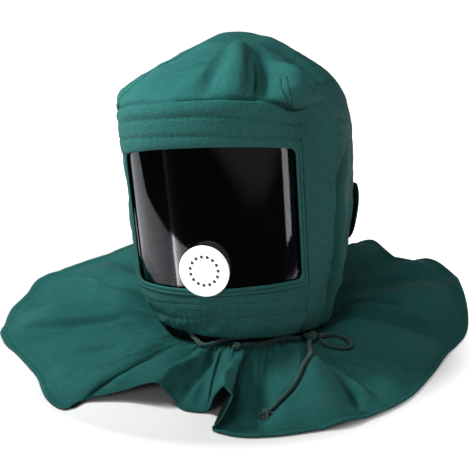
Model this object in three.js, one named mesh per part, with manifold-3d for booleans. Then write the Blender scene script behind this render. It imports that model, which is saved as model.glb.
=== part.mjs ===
// A sandblasting hood of green canvas, standing on its spread cape.
// Millimetres, +Z up, the window faces -Y and the wearer's left is +X.
// The origin is on the surface that the cape lies on, under the middle of the whole hood.
import * as THREE from "three";
import { mergeVertices } from "three/addons/utils/BufferGeometryUtils.js";
import Module from "manifold-3d";

const wasm = await Module();
wasm.setup();

// Sizes of the hood, along its own leaning axis
const HOOD_HEIGHT = 312; // from the neck to the top of the crown
const FACE_RADIUS = 118; // outside of the cloth round the window
const REAR_REACH = 156; // from the axis to the back of the head
const FACE_CENTRE_Y = 4; // the axis of the window's curve, behind the middle of the neck
const APEX_X = 5; // the top of the crown lies to the left of the wearer's middle
const APEX_Y = 41; // and behind the axis
const LEAN_BACK = 10.5; // degrees
const LEAN_SIDE = 8; // degrees, towards -X
const FACE_FLARE = 3.5; // the face is wider at the window's head than at its sill by this much
const NECK_AT = new THREE.Vector3(14.2, -16.9, 28); // the middle of the neck over the surface
const NECK_BACK_RISE = 16; // the hood's lower edge is higher at the back
const NECK_LEVEL = 0.7; // and is levelled by this share of its sideways lean

// Sizes of the window
const WINDOW_HEIGHT = 142;
const WINDOW_HALF_ANGLE = 53; // degrees round the face
const WINDOW_SILL = 50; // height of its lower edge over the neck
const WINDOW_ARCH = 11; // its upper edge rises by this much in the middle
const WINDOW_CORNER = 7;
const BINDING_WIDTH = 8;
const BINDING_PROUD = 1.4; // how far it stands out of the cloth
const VISOR_THICKNESS = 1.6;
const VISOR_LAP = 6; // how far the visor runs on behind its binding

// Sizes of the cloth
const CLOTH = 2;
const BROW_BAND_HEIGHT = 46;
const BROW_BAND_PROUD = 2.2;
const CREASE = 20; // the deepest dent or highest fold in the crown
const FLAP_HEIGHT = 74;
const FLAP_REACH = 40; // degrees round the hood
const FLAP_FLARE = 8.5;
const FLAP_FOOT = 0.19; // height share of its lower end
const FLAP_SEAM = 148; // degrees round the hood

// Sizes of the cape and the neck
const CAPE_REACH = 270; // from the cape's middle to its hem
const CAPE_AT = new THREE.Vector3(14.2, 15.1, 0); // the middle of the cape
const CAPE_LIFT = 42; // the highest fold of the hem
const NECK_INSET = 13; // the cape's seam lies inside the hood's lower edge
const NECK_DROP = 11; // and under it
const NECK_LOWEST = 5; // but never lower than this
const CORD_GROOVE = 9; // how far the cord pulls the casing in
const NECK_SAG = 8; // the cape's seam hangs lower by this much under the left of the chin
const SAG_ANGLE = -30; // the middle of that sag, in degrees round the neck
const SAG_WIDTH = 42;

// Sizes of the exhale valve
const VALVE_ANGLE = 1.2; // degrees round the face
const VALVE_HEIGHT = 22; // over the window's lower edge
const COVER_RADIUS = 27.8;
const COVER_DEPTH = 8.2; // its front over the face
const BODY_RADIUS = 20;
const VALVE_NECK_RADIUS = 15;
const VALVE_BORE_RADIUS = 11;
const BREATH_HOLES = 15;
const BREATH_HOLE_RADIUS = 2.1;
const BREATH_RING_RADIUS = 15.6;

const CORD_DIAMETER = 4.6;
const GAP = 0.3; // clearance between pieces that touch
const SEAM_GAP = 0.6; // clearance along a sewn seam

// Grid steps of the cloth walls
const FRONT_STEPS = 24;
const BACK_STEPS = 28;
const SIDE_ROWS = 8;
const BROW_ROWS = 3;
const CROWN_ROWS = 10;
const CAPE_STEPS = 2; // columns to each row of the cape's table
const CAPE_ROWS = 8;
const BINDING_POINTS = 60;
const CORD_SIDES = 8;
const VISOR_STEPS = 36;
const TURNED_SIDES = 40;

const rad = THREE.MathUtils.degToRad;
const { lerp, clamp, smoothstep } = THREE.MathUtils;

// The hood's sections from its lower edge to the crown, as shares:
// height of HOOD_HEIGHT, front, left and right of FACE_RADIUS, rear of REAR_REACH,
// apex is how far the section's middle has moved to the top of the crown.
const SECTIONS = [
  { height: -0.02, front: 0.93, right: 0.89, left: 0.87, rear: 0.58, apex: 0 },
  { height: 0.04, front: 0.965, right: 0.935, left: 0.94, rear: 0.67, apex: 0 },
  { height: 0.1, front: 1, right: 0.97, left: 1.01, rear: 0.76, apex: 0 },
  { height: 0.16, front: 1, right: 0.995, left: 1.05, rear: 0.85, apex: 0 },
  { height: 0.32, front: 1, right: 1.01, left: 1.1, rear: 0.96, apex: 0 },
  { height: 0.48, front: 1, right: 1.02, left: 1.12, rear: 1, apex: 0 },
  { height: 0.62, front: 1, right: 1.035, left: 1.12, rear: 0.99, apex: 0 },
  { height: 0.72, front: 0.995, right: 1.055, left: 1.09, rear: 0.94, apex: 0 },
  { height: 0.785, front: 0.965, right: 1.075, left: 1.02, rear: 0.86, apex: 0.05 },
  { height: 0.845, front: 0.82, right: 0.985, left: 0.87, rear: 0.74, apex: 0.25 },
  { height: 0.915, front: 0.56, right: 0.7, left: 0.61, rear: 0.54, apex: 0.6 },
  { height: 0.97, front: 0.28, right: 0.36, left: 0.35, rear: 0.31, apex: 0.85 },
  { height: 1, front: 0, right: 0, left: 0, rear: 0, apex: 1 },
];

// Folds and dents of the hood: angle and width in degrees round it, drift in degrees
// from the lower end to the upper one, low, peak and high as shares of HOOD_HEIGHT,
// rise as a share of CREASE.
const FOLDS = [
  { angle: 20, width: 12, drift: 8, low: 0.76, peak: 0.9, high: 1.04, rise: 0.7 },
  { angle: 6, width: 9, drift: 0, low: 0.77, peak: 0.86, high: 0.97, rise: -0.35 },
  { angle: 36, width: 11, drift: 10, low: 0.75, peak: 0.86, high: 1, rise: -1.05 },
  { angle: 58, width: 21, drift: -8, low: 0.72, peak: 0.835, high: 0.93, rise: 1.3 },
  { angle: 86, width: 15, drift: -22, low: 0.45, peak: 0.68, high: 0.85, rise: 0.4 },
  { angle: 100, width: 22, drift: -26, low: 0.7, peak: 0.84, high: 0.99, rise: -0.5 },
  { angle: 97, width: 11, drift: 2, low: -0.05, peak: 0.18, high: 0.6, rise: -0.45 },
  { angle: 82, width: 9, drift: 2, low: -0.05, peak: 0.16, high: 0.5, rise: 0.2 },
  { angle: -45, width: 20, drift: 14, low: 0.77, peak: 0.86, high: 0.97, rise: 0.22 },
  { angle: -86, width: 16, drift: 0, low: 0.76, peak: 0.83, high: 0.95, rise: -0.3 },
  { angle: -110, width: 20, drift: 6, low: 0.05, peak: 0.3, high: 0.72, rise: -0.3 },
  { angle: 150, width: 18, drift: -8, low: 0.1, peak: 0.42, high: 0.85, rise: 0.28 },
  { angle: -150, width: 18, drift: 8, low: 0.02, peak: 0.3, high: 0.8, rise: 0.3 },
  { angle: 180, width: 16, drift: 0, low: -0.05, peak: 0.2, high: 0.6, rise: -0.3 },
];

// The cape, one row for each fold or hollow, round from the front to the wearer's left:
// neck and hem are angles in degrees round the neck's and the cape's middle, reach is a
// share of CAPE_REACH, and near, mid and edge are heights along the row, from the neck
// to the hem, as shares of CAPE_LIFT. Below 0 the cloth lies flat on the surface.
const CAPE = [
  { neck: 3, hem: 5, reach: 0.83, near: 0.5, mid: 0.3, edge: 0.02 },
  { neck: 6, hem: 6.4, reach: 0.826, near: 0.56, mid: 0.42, edge: 0.12 },
  { neck: 9, hem: 8.4, reach: 0.842, near: 0.64, mid: 0.72, edge: 0.62 },
  { neck: 13, hem: 12, reach: 0.856, near: 0.72, mid: 0.95, edge: 1 },
  { neck: 18, hem: 13.6, reach: 0.885, near: 0.66, mid: 0.85, edge: 0.85 },
  { neck: 22, hem: 11.4, reach: 0.93, near: 0.46, mid: 0.45, edge: 0.32 },
  { neck: 26, hem: 9, reach: 0.945, near: 0.3, mid: -0.03, edge: -0.08 },
  { neck: 30, hem: 15, reach: 0.975, near: 0.2, mid: -0.03, edge: -0.08 },
  { neck: 36, hem: 22, reach: 0.975, near: 0.18, mid: -0.03, edge: -0.08 },
  { neck: 42, hem: 31, reach: 0.965, near: 0.42, mid: 0.32, edge: -0.08 },
  { neck: 49, hem: 40, reach: 0.965, near: 0.66, mid: 0.6, edge: 0.12 },
  { neck: 56, hem: 48, reach: 0.955, near: 0.4, mid: 0.24, edge: -0.08 },
  { neck: 64, hem: 58, reach: 0.94, near: 0.3, mid: -0.03, edge: -0.08 },
  { neck: 74, hem: 71, reach: 0.905, near: 0.42, mid: 0.22, edge: -0.08 },
  { neck: 84, hem: 84, reach: 0.9, near: 0.6, mid: 0.46, edge: 0.02 },
  { neck: 93, hem: 96, reach: 0.945, near: 0.32, mid: -0.03, edge: -0.08 },
  { neck: 103, hem: 107, reach: 0.965, near: 0.42, mid: 0.3, edge: 0.06 },
  { neck: 113, hem: 119, reach: 0.985, near: 0.58, mid: 0.6, edge: 0.3 },
  { neck: 123, hem: 129, reach: 1.03, near: 0.3, mid: 0.2, edge: 0.14 },
  { neck: 133, hem: 138, reach: 1.005, near: 0.36, mid: 0.42, edge: 0.2 },
  { neck: 142, hem: 146, reach: 0.945, near: 0.26, mid: -0.03, edge: -0.08 },
  { neck: 151, hem: 154, reach: 0.87, near: 0.4, mid: 0.5, edge: 0.5 },
  { neck: 163, hem: 165, reach: 0.83, near: 0.3, mid: 0.15, edge: 0.02 },
  { neck: 176, hem: 178, reach: 0.85, near: 0.4, mid: 0.4, edge: 0.2 },
  { neck: 190, hem: 191, reach: 0.87, near: 0.28, mid: -0.03, edge: -0.08 },
  { neck: 204, hem: 204, reach: 0.87, near: 0.38, mid: 0.34, edge: 0.12 },
  { neck: 217, hem: 217, reach: 0.875, near: 0.26, mid: -0.03, edge: -0.08 },
  { neck: 230, hem: 229, reach: 0.88, near: 0.36, mid: 0.36, edge: 0.16 },
  { neck: 242, hem: 241, reach: 0.89, near: 0.32, mid: 0.2, edge: 0.18 },
  { neck: 253, hem: 251, reach: 0.945, near: 0.36, mid: 0.22, edge: 0.04 },
  { neck: 263, hem: 261, reach: 0.995, near: 0.4, mid: 0.2, edge: -0.08 },
  { neck: 272, hem: 269, reach: 1.045, near: 0.42, mid: 0.24, edge: -0.08 },
  { neck: 281, hem: 277, reach: 1.035, near: 0.34, mid: -0.03, edge: -0.08 },
  { neck: 289, hem: 286, reach: 1.06, near: 0.46, mid: 0.3, edge: -0.08 },
  { neck: 296, hem: 294, reach: 1.07, near: 0.56, mid: 0.5, edge: 0.02 },
  { neck: 304, hem: 300.5, reach: 1.085, near: 0.42, mid: 0.3, edge: 0.1 },
  { neck: 313, hem: 309, reach: 1.035, near: 0.34, mid: 0.14, edge: -0.08 },
  { neck: 321, hem: 320, reach: 1.02, near: 0.3, mid: -0.03, edge: -0.08 },
  { neck: 328, hem: 329.5, reach: 1.07, near: 0.32, mid: 0.16, edge: -0.08 },
  { neck: 334, hem: 335.6, reach: 1.065, near: 0.36, mid: 0.26, edge: -0.08 },
  { neck: 339, hem: 336.6, reach: 0.97, near: 0.4, mid: 0.34, edge: 0.05 },
  { neck: 344, hem: 343, reach: 0.875, near: 0.5, mid: 0.52, edge: 0.22 },
  { neck: 350, hem: 351, reach: 0.83, near: 0.6, mid: 0.72, edge: 0.58 },
  { neck: 354, hem: 355, reach: 0.808, near: 0.52, mid: 0.5, edge: 0.2 },
  { neck: 359, hem: 360, reach: 0.833, near: 0.46, mid: 0.24, edge: -0.08 },
];

// A smooth curve through values at whole steps
function throughValues(values, at, round) {
  const count = values.length;
  const start = clamp(Math.floor(at), 0, round ? count - 1 : count - 2);
  const share = at - start;
  const value = (k) => values[round ? (k + count) % count : clamp(k, 0, count - 1)];
  const [a, b, c, d] = [-1, 0, 1, 2].map((step) => value(start + step));
  const first = (c - a) / 2;
  const last = (d - b) / 2;
  const square = share * share;
  return (
    b +
    first * share +
    (3 * (c - b) - 2 * first - last) * square +
    (2 * (b - c) + first + last) * square * share
  );
}

// The section at a height share, from the table, smooth between its rows
function sectionAt(height) {
  let row = SECTIONS.findIndex((section) => section.height > height) - 1;
  if (row < 0) row = height < SECTIONS[0].height ? 0 : SECTIONS.length - 2;
  const below = SECTIONS[row].height;
  const share = clamp((height - below) / (SECTIONS[row + 1].height - below), 0, 1);
  const read = (column) =>
    throughValues(SECTIONS.map((section) => section[column]), row + share, false);
  return {
    front: Math.max(read("front"), 0) * FACE_RADIUS,
    right: Math.max(read("right"), 0) * FACE_RADIUS,
    left: Math.max(read("left"), 0) * FACE_RADIUS,
    rear: Math.max(read("rear"), 0) * REAR_REACH,
    apex: clamp(read("apex"), 0, 1),
  };
}

const around = (angle) => THREE.MathUtils.euclideanModulo(angle + 180, 360) - 180;

// How far the rows are pushed up in the middle of the face, to arch over the window
function archAt(angle, height) {
  const sill = WINDOW_SILL / HOOD_HEIGHT;
  const head = (WINDOW_SILL + WINDOW_HEIGHT) / HOOD_HEIGHT;
  const bow = Math.max(0, 1 - (around(angle) / WINDOW_HALF_ANGLE) ** 2);
  const rising = clamp((height - sill) / (head - sill), 0, 1);
  const falling = clamp((1 - height) / (1 - head), 0, 1);
  return WINDOW_ARCH * bow * rising * falling;
}

// How much wider the face is at this height share than at the window's sill
function flareAt(height) {
  const share = (height * HOOD_HEIGHT - WINDOW_SILL) / WINDOW_HEIGHT;
  return FACE_FLARE * clamp(share, -0.2, 1.3) * (1 - smoothstep(height, 0.8, 0.95));
}

// The distance from the axis to the cloth
function radiusAt(angle, section, height) {
  const turn = rad(angle);
  const across = Math.abs(Math.sin(turn));
  const along = Math.cos(turn);
  const side = around(angle) > 0 ? section.left : section.right;
  const fullness = along > 0 ? 2 : 2.3;
  const depth = along > 0 ? section.front : section.rear;
  if (side === 0) return 0;
  const body =
    ((across / side) ** fullness + (Math.abs(along) / depth) ** fullness) ** (-1 / fullness);
  const facing = 1 - smoothstep(Math.abs(around(angle)), WINDOW_HALF_ANGLE + 6, 92);
  const face = facing * (1 - smoothstep(height, 0.74, 0.84)) * smoothstep(height, -0.06, 0.12);
  return lerp(body, section.front, face) + flareAt(height);
}

function foldAt(angle, height) {
  let total = 0;
  for (const fold of FOLDS) {
    if (height <= fold.low || height >= fold.high) continue;
    const share = (height - fold.low) / (fold.high - fold.low);
    const off = around(angle - fold.angle - fold.drift * share) / fold.width;
    if (Math.abs(off) >= 1) continue;
    const half = height < fold.peak ? fold.peak - fold.low : fold.high - fold.peak;
    const along = 1 - Math.abs(height - fold.peak) / half;
    total += fold.rise * CREASE * smoothstep(along, 0, 1) * (0.5 + 0.5 * Math.cos(Math.PI * off));
  }
  return total;
}

const lean = new THREE.Matrix4()
  .makeRotationX(-rad(LEAN_BACK))
  .multiply(new THREE.Matrix4().makeRotationY(-rad(LEAN_SIDE)))
  .setPosition(NECK_AT);

// A point of the hood's outer surface, by its angle round the axis and its height share
function hoodPoint(angle, height) {
  const section = sectionAt(height);
  const turn = rad(angle);
  const out = new THREE.Vector3(Math.sin(turn), -Math.cos(turn), 0);
  const point = out.clone().multiplyScalar(radiusAt(angle, section, height));
  point.x += APEX_X * section.apex;
  point.y += FACE_CENTRE_Y + APEX_Y * section.apex;
  const back = smoothstep(-Math.cos(turn), 0, 1);
  const level = -NECK_LEVEL * point.x * Math.tan(rad(LEAN_SIDE));
  point.z = height * HOOD_HEIGHT + archAt(angle, height);
  point.z += NECK_BACK_RISE * back * (1 - smoothstep(height, 0, 0.4));
  point.z += level * (1 - smoothstep(height, 0, 0.12));
  const pitch = rad(62) * smoothstep(height, 0.74, 0.92);
  const push = out.multiplyScalar(Math.cos(pitch)).setZ(Math.sin(pitch));
  return point.addScaledVector(push, foldAt(angle, height)).applyMatrix4(lean);
}

// The outward normal of the hood's surface
function hoodNormal(angle, height) {
  const across = hoodPoint(angle + 1, height).sub(hoodPoint(angle - 1, height));
  const up = hoodPoint(angle, height + 0.01).sub(hoodPoint(angle, height - 0.01));
  return across.cross(up).normalize();
}

// A point in front of or behind the curve of the face: out is the distance from it
function facePoint(angle, height, out) {
  const turn = rad(angle);
  const reach = FACE_RADIUS + flareAt(height / HOOD_HEIGHT) + out;
  const raised = height + archAt(angle, height / HOOD_HEIGHT);
  return new THREE.Vector3(
    reach * Math.sin(turn),
    FACE_CENTRE_Y - reach * Math.cos(turn),
    raised,
  ).applyMatrix4(lean);
}

// A closed wall over a grid of points. rows go up or inwards and points go round, so
// that the grid's normals point out; the wall lies between inside and outside of it.
function wall(rows, inside, outside, { round = false, closed = false, keep = () => true } = {}) {
  const across = rows[0].length;
  const last = rows.length - 1;
  const id = (row, column) =>
    closed && row === last ? row * across : row * across + (column % across);
  const points = rows.flat();
  const quads = [];
  for (let row = 0; row < last; row++) {
    for (let column = 0; column < (round ? across : across - 1); column++) {
      if (!keep(row, column)) continue;
      const corners = [
        id(row, column),
        id(row, column + 1),
        id(row + 1, column + 1),
        id(row + 1, column),
      ];
      quads.push(corners);
    }
  }
  const faces = quads.flatMap((quad) => splitQuad(quad, points));
  const normals = points.map(() => new THREE.Vector3());
  const edgeA = new THREE.Vector3();
  const edgeB = new THREE.Vector3();
  for (const [a, b, c] of faces) {
    edgeA.subVectors(points[b], points[a]);
    edgeB.subVectors(points[c], points[a]);
    edgeA.cross(edgeB);
    for (const corner of [a, b, c]) normals[corner].add(edgeA);
  }
  for (const normal of normals) normal.normalize();
  const outer = points.map((point, k) => point.clone().addScaledVector(normals[k], outside));
  const inner = points.map((point, k) => point.clone().addScaledVector(normals[k], -inside));
  const half = points.length;
  const triangles = [];
  const edges = new Map();
  for (const [a, b, c] of faces) {
    triangles.push([a, b, c], [half + a, half + c, half + b]);
    for (const [from, to] of [[a, b], [b, c], [c, a]]) {
      const back = `${to} ${from}`;
      if (edges.has(back)) edges.delete(back);
      else edges.set(`${from} ${to}`, [from, to]);
    }
  }
  for (const [from, to] of edges.values()) {
    triangles.push([to, from, half + from], [to, half + from, half + to]);
  }
  return closedGeometry([...outer, ...inner], triangles);
}

// The two triangles of a quad, cut along its shorter diagonal
function splitQuad([a, b, c, d], points) {
  const flat = (face) => new Set(face).size === 3;
  const straight = points[a].distanceTo(points[c]) <= points[b].distanceTo(points[d]);
  const faces = straight ? [[a, b, c], [a, c, d]] : [[a, b, d], [b, c, d]];
  return faces.filter(flat);
}

function closedGeometry(points, triangles) {
  const geometry = new THREE.BufferGeometry().setFromPoints(points);
  geometry.setIndex(triangles.flat());
  const tidy = geometry.toNonIndexed();
  tidy.computeVertexNormals();
  return tidy;
}

// Closed geometry to a solid and back, for cuts
function solidOf(geometry) {
  const bare = geometry.clone();
  for (const name of ["normal", "uv"]) bare.deleteAttribute(name);
  const merged = mergeVertices(bare, 1e-4);
  return new wasm.Manifold(
    new wasm.Mesh({
      numProp: 3,
      vertProperties: merged.attributes.position.array,
      triVerts: new Uint32Array(merged.index.array),
    }),
  );
}

function geometryOf(solid) {
  const { vertProperties, triVerts, numProp } = solid.getMesh();
  const geometry = new THREE.BufferGeometry();
  const places = new THREE.InterleavedBuffer(vertProperties, numProp);
  geometry.setAttribute("position", new THREE.InterleavedBufferAttribute(places, 3, 0));
  geometry.setIndex(new THREE.BufferAttribute(triVerts, 1));
  const plain = geometry.toNonIndexed();
  plain.computeVertexNormals();
  return plain;
}

const spread = (from, to, steps) =>
  Array.from({ length: steps + 1 }, (_, k) => lerp(from, to, k / steps));

// Angles round the hood: fine across the face, then round the back
const NOTCH_ANGLE = WINDOW_HALF_ANGLE + THREE.MathUtils.radToDeg(BINDING_WIDTH / FACE_RADIUS);
const HOOD_ANGLES = [
  ...spread(-NOTCH_ANGLE, NOTCH_ANGLE, FRONT_STEPS).slice(0, -1),
  ...spread(NOTCH_ANGLE, 360 - NOTCH_ANGLE, BACK_STEPS).slice(0, -1),
];
const WINDOW_HEAD = WINDOW_SILL + WINDOW_HEIGHT;
const NOTCH_HEAD = (WINDOW_HEAD + BINDING_WIDTH) / HOOD_HEIGHT;
const BAND_HEAD = (WINDOW_HEAD + BROW_BAND_HEIGHT) / HOOD_HEIGHT;
const LOWER_EDGE = SECTIONS[0].height;

// Crown, back and sides in one cloth wall, open in front up to the window's head
function hoodShell() {
  const heights = [
    ...spread(LOWER_EDGE, NOTCH_HEAD, SIDE_ROWS).slice(0, -1),
    ...spread(NOTCH_HEAD, BAND_HEAD, BROW_ROWS).slice(0, -1),
    ...spread(BAND_HEAD, 1, CROWN_ROWS),
  ];
  const rows = heights.map((height) => HOOD_ANGLES.map((angle) => hoodPoint(angle, height)));
  const keep = (row, column) => row >= SIDE_ROWS || column >= FRONT_STEPS;
  return wall(rows, CLOTH, 0, { round: true, closed: true, keep });
}

// How far the band over the window runs on past the binding, in degrees
const BAND_RIGHT_LAP = 12;
const BAND_LEFT_LAP = 4;

// The stiff band over the window, sewn on the crown's cloth
function browBand() {
  const low = (WINDOW_HEAD + 1) / HOOD_HEIGHT;
  const angles = spread(-NOTCH_ANGLE - BAND_RIGHT_LAP, NOTCH_ANGLE + BAND_LEFT_LAP, 24);
  const rows = spread(low, BAND_HEAD, 3).map((height) =>
    angles.map((angle) => hoodPoint(angle, height)),
  );
  const outside = BROW_BAND_PROUD + BINDING_PROUD + GAP;
  return wall(rows, -(outside - BROW_BAND_PROUD), outside);
}

// The cloth under the window, down to the neck
function chinBand() {
  const top = (WINDOW_SILL - BINDING_WIDTH) / HOOD_HEIGHT;
  const side = NOTCH_ANGLE - THREE.MathUtils.radToDeg(SEAM_GAP / FACE_RADIUS);
  const rows = spread(LOWER_EDGE, top, 4).map((height) =>
    spread(-side, side, FRONT_STEPS).map((angle) => hoodPoint(angle, height)),
  );
  return wall(rows, CLOTH, 0);
}

// Points round the window's edge, the corners rounded: grow is the distance outwards
function windowLoop(grow, corner) {
  const half = WINDOW_HALF_ANGLE * rad(1) * FACE_RADIUS + grow;
  const low = WINDOW_SILL - grow;
  const high = WINDOW_HEAD + grow;
  const outline = new THREE.Shape();
  outline.moveTo(-half + corner, low);
  outline.lineTo(half - corner, low);
  outline.absarc(half - corner, low + corner, corner, -Math.PI / 2, 0);
  outline.lineTo(half, high - corner);
  outline.absarc(half - corner, high - corner, corner, 0, Math.PI / 2);
  outline.lineTo(-half + corner, high);
  outline.absarc(-half + corner, high - corner, corner, Math.PI / 2, Math.PI);
  outline.lineTo(-half, low + corner);
  outline.absarc(-half + corner, low + corner, corner, Math.PI, Math.PI * 1.5);
  return outline;
}

// The folded tape that frames the window: it lies in the plane of the cloth, a little proud
function windowBinding() {
  const grows = [BINDING_WIDTH - SEAM_GAP, BINDING_WIDTH / 2, 0];
  const rows = grows.map((grow) => {
    const loop = windowLoop(grow, grow > BINDING_WIDTH / 2 ? 1 : WINDOW_CORNER);
    const corners = evenPoints(loop);
    return corners.map(([run, height]) =>
      facePoint(THREE.MathUtils.radToDeg(run / FACE_RADIUS), height, 0),
    );
  });
  return wall(rows, CLOTH, BINDING_PROUD, { round: true });
}

// The same number of points on each side and corner of a window outline
const SIDE_SHARES = [0.3, 0.04, 0.12, 0.04, 0.3, 0.04, 0.12, 0.04]; // sides and corners in turn

function evenPoints(outline) {
  const points = [];
  const curves = outline.curves.filter((curve) => curve.getLength() > 0);
  curves.forEach((curve, k) => {
    const steps = Math.max(2, Math.round(BINDING_POINTS * SIDE_SHARES[k % SIDE_SHARES.length]));
    for (let step = 0; step < steps; step++) {
      const point = curve.getPoint(step / steps);
      points.push([point.x, point.y]);
    }
  });
  return points;
}

function visor() {
  const side = WINDOW_HALF_ANGLE + THREE.MathUtils.radToDeg(VISOR_LAP / FACE_RADIUS);
  const out = -CLOTH - GAP;
  const low = WINDOW_SILL - VISOR_LAP;
  const high = WINDOW_HEAD + VISOR_LAP;
  const rows = spread(low, high, 4).map((height) =>
    spread(-side, side, VISOR_STEPS).map((angle) => facePoint(angle, height, out)),
  );
  const hole = VALVE_NECK_RADIUS + GAP;
  const through = 4 * VISOR_THICKNESS;
  const drill = turned([[0, -through], [hole, -through], [hole, through], [0, through]]);
  const pane = solidOf(wall(rows, VISOR_THICKNESS, 0));
  return geometryOf(pane.subtract(solidOf(valvePlace(drill.translate(0, 0, out)))));
}

// A turned piece: the profile's first number is the radius and its second the height
function turned(profile, segments = TURNED_SIDES) {
  const points = profile.map(([radius, height]) => new THREE.Vector2(radius, height));
  const geometry = new THREE.LatheGeometry(points, segments);
  return geometry.rotateX(Math.PI / 2);
}

// Puts a turned piece on the face, its axis through the valve's middle and its zero on
// the outside of the cloth
function valvePlace(geometry) {
  const turn = rad(VALVE_ANGLE);
  const height = WINDOW_SILL + VALVE_HEIGHT;
  const reach = FACE_RADIUS + flareAt(height / HOOD_HEIGHT);
  const slope = Math.atan(FACE_FLARE / WINDOW_HEIGHT);
  const place = new THREE.Matrix4()
    .makeTranslation(reach * Math.sin(turn), FACE_CENTRE_Y - reach * Math.cos(turn), height)
    .multiply(new THREE.Matrix4().makeRotationZ(turn))
    .multiply(new THREE.Matrix4().makeRotationX(Math.PI / 2 + slope));
  return geometry.applyMatrix4(new THREE.Matrix4().multiplyMatrices(lean, place));
}

const VISOR_OUT = -CLOTH - GAP;
const VISOR_IN = VISOR_OUT - VISOR_THICKNESS;
const NUT_DEPTH = 3;
const NUT_RADIUS = BODY_RADIUS + 1;
const NUT_FRONT = VISOR_IN - NUT_RADIUS ** 2 / (2 * FACE_RADIUS) - GAP;
const BODY_FRONT = 4;
const PLATE = 2.2; // thickness of the cover's front

function valveBody() {
  const back = NUT_FRONT - NUT_DEPTH;
  return valvePlace(
    turned(
      [
        [VALVE_BORE_RADIUS, back],
        [VALVE_NECK_RADIUS, back],
        [VALVE_NECK_RADIUS, VISOR_OUT + GAP],
        [BODY_RADIUS, VISOR_OUT + GAP],
        [BODY_RADIUS, BODY_FRONT],
        [VALVE_BORE_RADIUS, BODY_FRONT],
        [VALVE_BORE_RADIUS, back],
      ],
    ),
  );
}

function valveNut() {
  const inner = VALVE_NECK_RADIUS + GAP;
  return valvePlace(
    turned(
      [
        [inner, NUT_FRONT - NUT_DEPTH],
        [NUT_RADIUS, NUT_FRONT - NUT_DEPTH],
        [NUT_RADIUS, NUT_FRONT],
        [inner, NUT_FRONT],
        [inner, NUT_FRONT - NUT_DEPTH],
      ],
    ),
  );
}

// The white cover: a shallow cup over the body, with a raised rim and middle
function valveCover() {
  const inside = BODY_RADIUS + GAP;
  const skirt = inside + 2;
  const back = COVER_DEPTH - PLATE;
  const middle = BREATH_RING_RADIUS - 3.6;
  const cup = turned(
    [
      [0, back],
      [inside, back],
      [inside, BINDING_PROUD + 2 * GAP],
      [skirt, BINDING_PROUD + 2 * GAP],
      [skirt, back - 0.6],
      [COVER_RADIUS - 0.8, back - 0.6],
      [COVER_RADIUS, back + 0.4],
      [COVER_RADIUS, COVER_DEPTH],
      [COVER_RADIUS - 0.9, COVER_DEPTH + 0.8],
      [COVER_RADIUS - 2.6, COVER_DEPTH + 0.8],
      [COVER_RADIUS - 3.6, COVER_DEPTH],
      [middle + 0.6, COVER_DEPTH],
      [middle, COVER_DEPTH + 0.5],
      [0, COVER_DEPTH + 0.7],
    ],
    60,
  );
  let solid = solidOf(cup);
  for (let k = 0; k < BREATH_HOLES; k++) {
    const turn = (k / BREATH_HOLES) * 2 * Math.PI;
    const hole = new THREE.CylinderGeometry(BREATH_HOLE_RADIUS, BREATH_HOLE_RADIUS, 4 * PLATE, 12);
    hole.rotateX(Math.PI / 2);
    hole.translate(
      BREATH_RING_RADIUS * Math.cos(turn),
      BREATH_RING_RADIUS * Math.sin(turn),
      COVER_DEPTH,
    );
    solid = solid.subtract(solidOf(hole));
  }
  return valvePlace(geometryOf(solid));
}

// A point of the hood's lower edge, moved in towards the axis and down
function underEdge(angle, inset, drop) {
  const point = hoodPoint(angle, LOWER_EDGE);
  const inward = new THREE.Vector3(NECK_AT.x, NECK_AT.y + FACE_CENTRE_Y, point.z)
    .sub(point)
    .normalize();
  point.addScaledVector(inward, inset);
  return point.setZ(Math.max(point.z - drop, NECK_LOWEST));
}

// The ring where the cape is sewn to the casing, by the angle round the neck
function neckRing(angle, grow) {
  const off = clamp(around(angle - SAG_ANGLE) / SAG_WIDTH, -1, 1);
  const sag = NECK_SAG * (0.5 + 0.5 * Math.cos(Math.PI * off));
  return underEdge(angle, NECK_INSET - grow, NECK_DROP + sag);
}

const UPPER_TUCK = 0.05; // share by which the casing over the cord is drawn in

// The gathered casing: from inside the hood's lower edge, in at the cord, out to the cape
function neckCasing() {
  const height = lerp(LOWER_EDGE, NOTCH_HEAD, 1 / SIDE_ROWS);
  const top = HOOD_ANGLES.map((angle) =>
    hoodPoint(angle, height).addScaledVector(hoodNormal(angle, height), -CLOTH - SEAM_GAP - GAP),
  );
  const groove = HOOD_ANGLES.map((angle) => underEdge(angle, NECK_INSET + CORD_GROOVE, 1));
  const upper = top.map((point, k) => point.clone().lerp(groove[k], 0.5));
  for (const point of upper) point.lerp(new THREE.Vector3(NECK_AT.x, NECK_AT.y, point.z), UPPER_TUCK);
  const hem = HOOD_ANGLES.map((angle) => neckRing(angle, 0));
  return wall([hem, groove, upper, top], CLOTH, 0, { round: true });
}

// The cape: columns round it, rows from the hem in to the neck, seen from under it
function capeColumns() {
  const columns = [];
  const angles = (name) => CAPE.map((row, k) => row[name] - (k * 360) / CAPE.length);
  const tables = { neck: angles("neck"), hem: angles("hem") };
  for (const name of ["reach", "near", "mid", "edge"]) tables[name] = CAPE.map((row) => row[name]);
  for (let k = 0; k < CAPE.length * CAPE_STEPS; k++) {
    const at = k / CAPE_STEPS;
    const column = { turned: (at * 360) / CAPE.length };
    for (const name in tables) column[name] = throughValues(tables[name], at, true);
    columns.push(column);
  }
  return columns;
}

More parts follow.
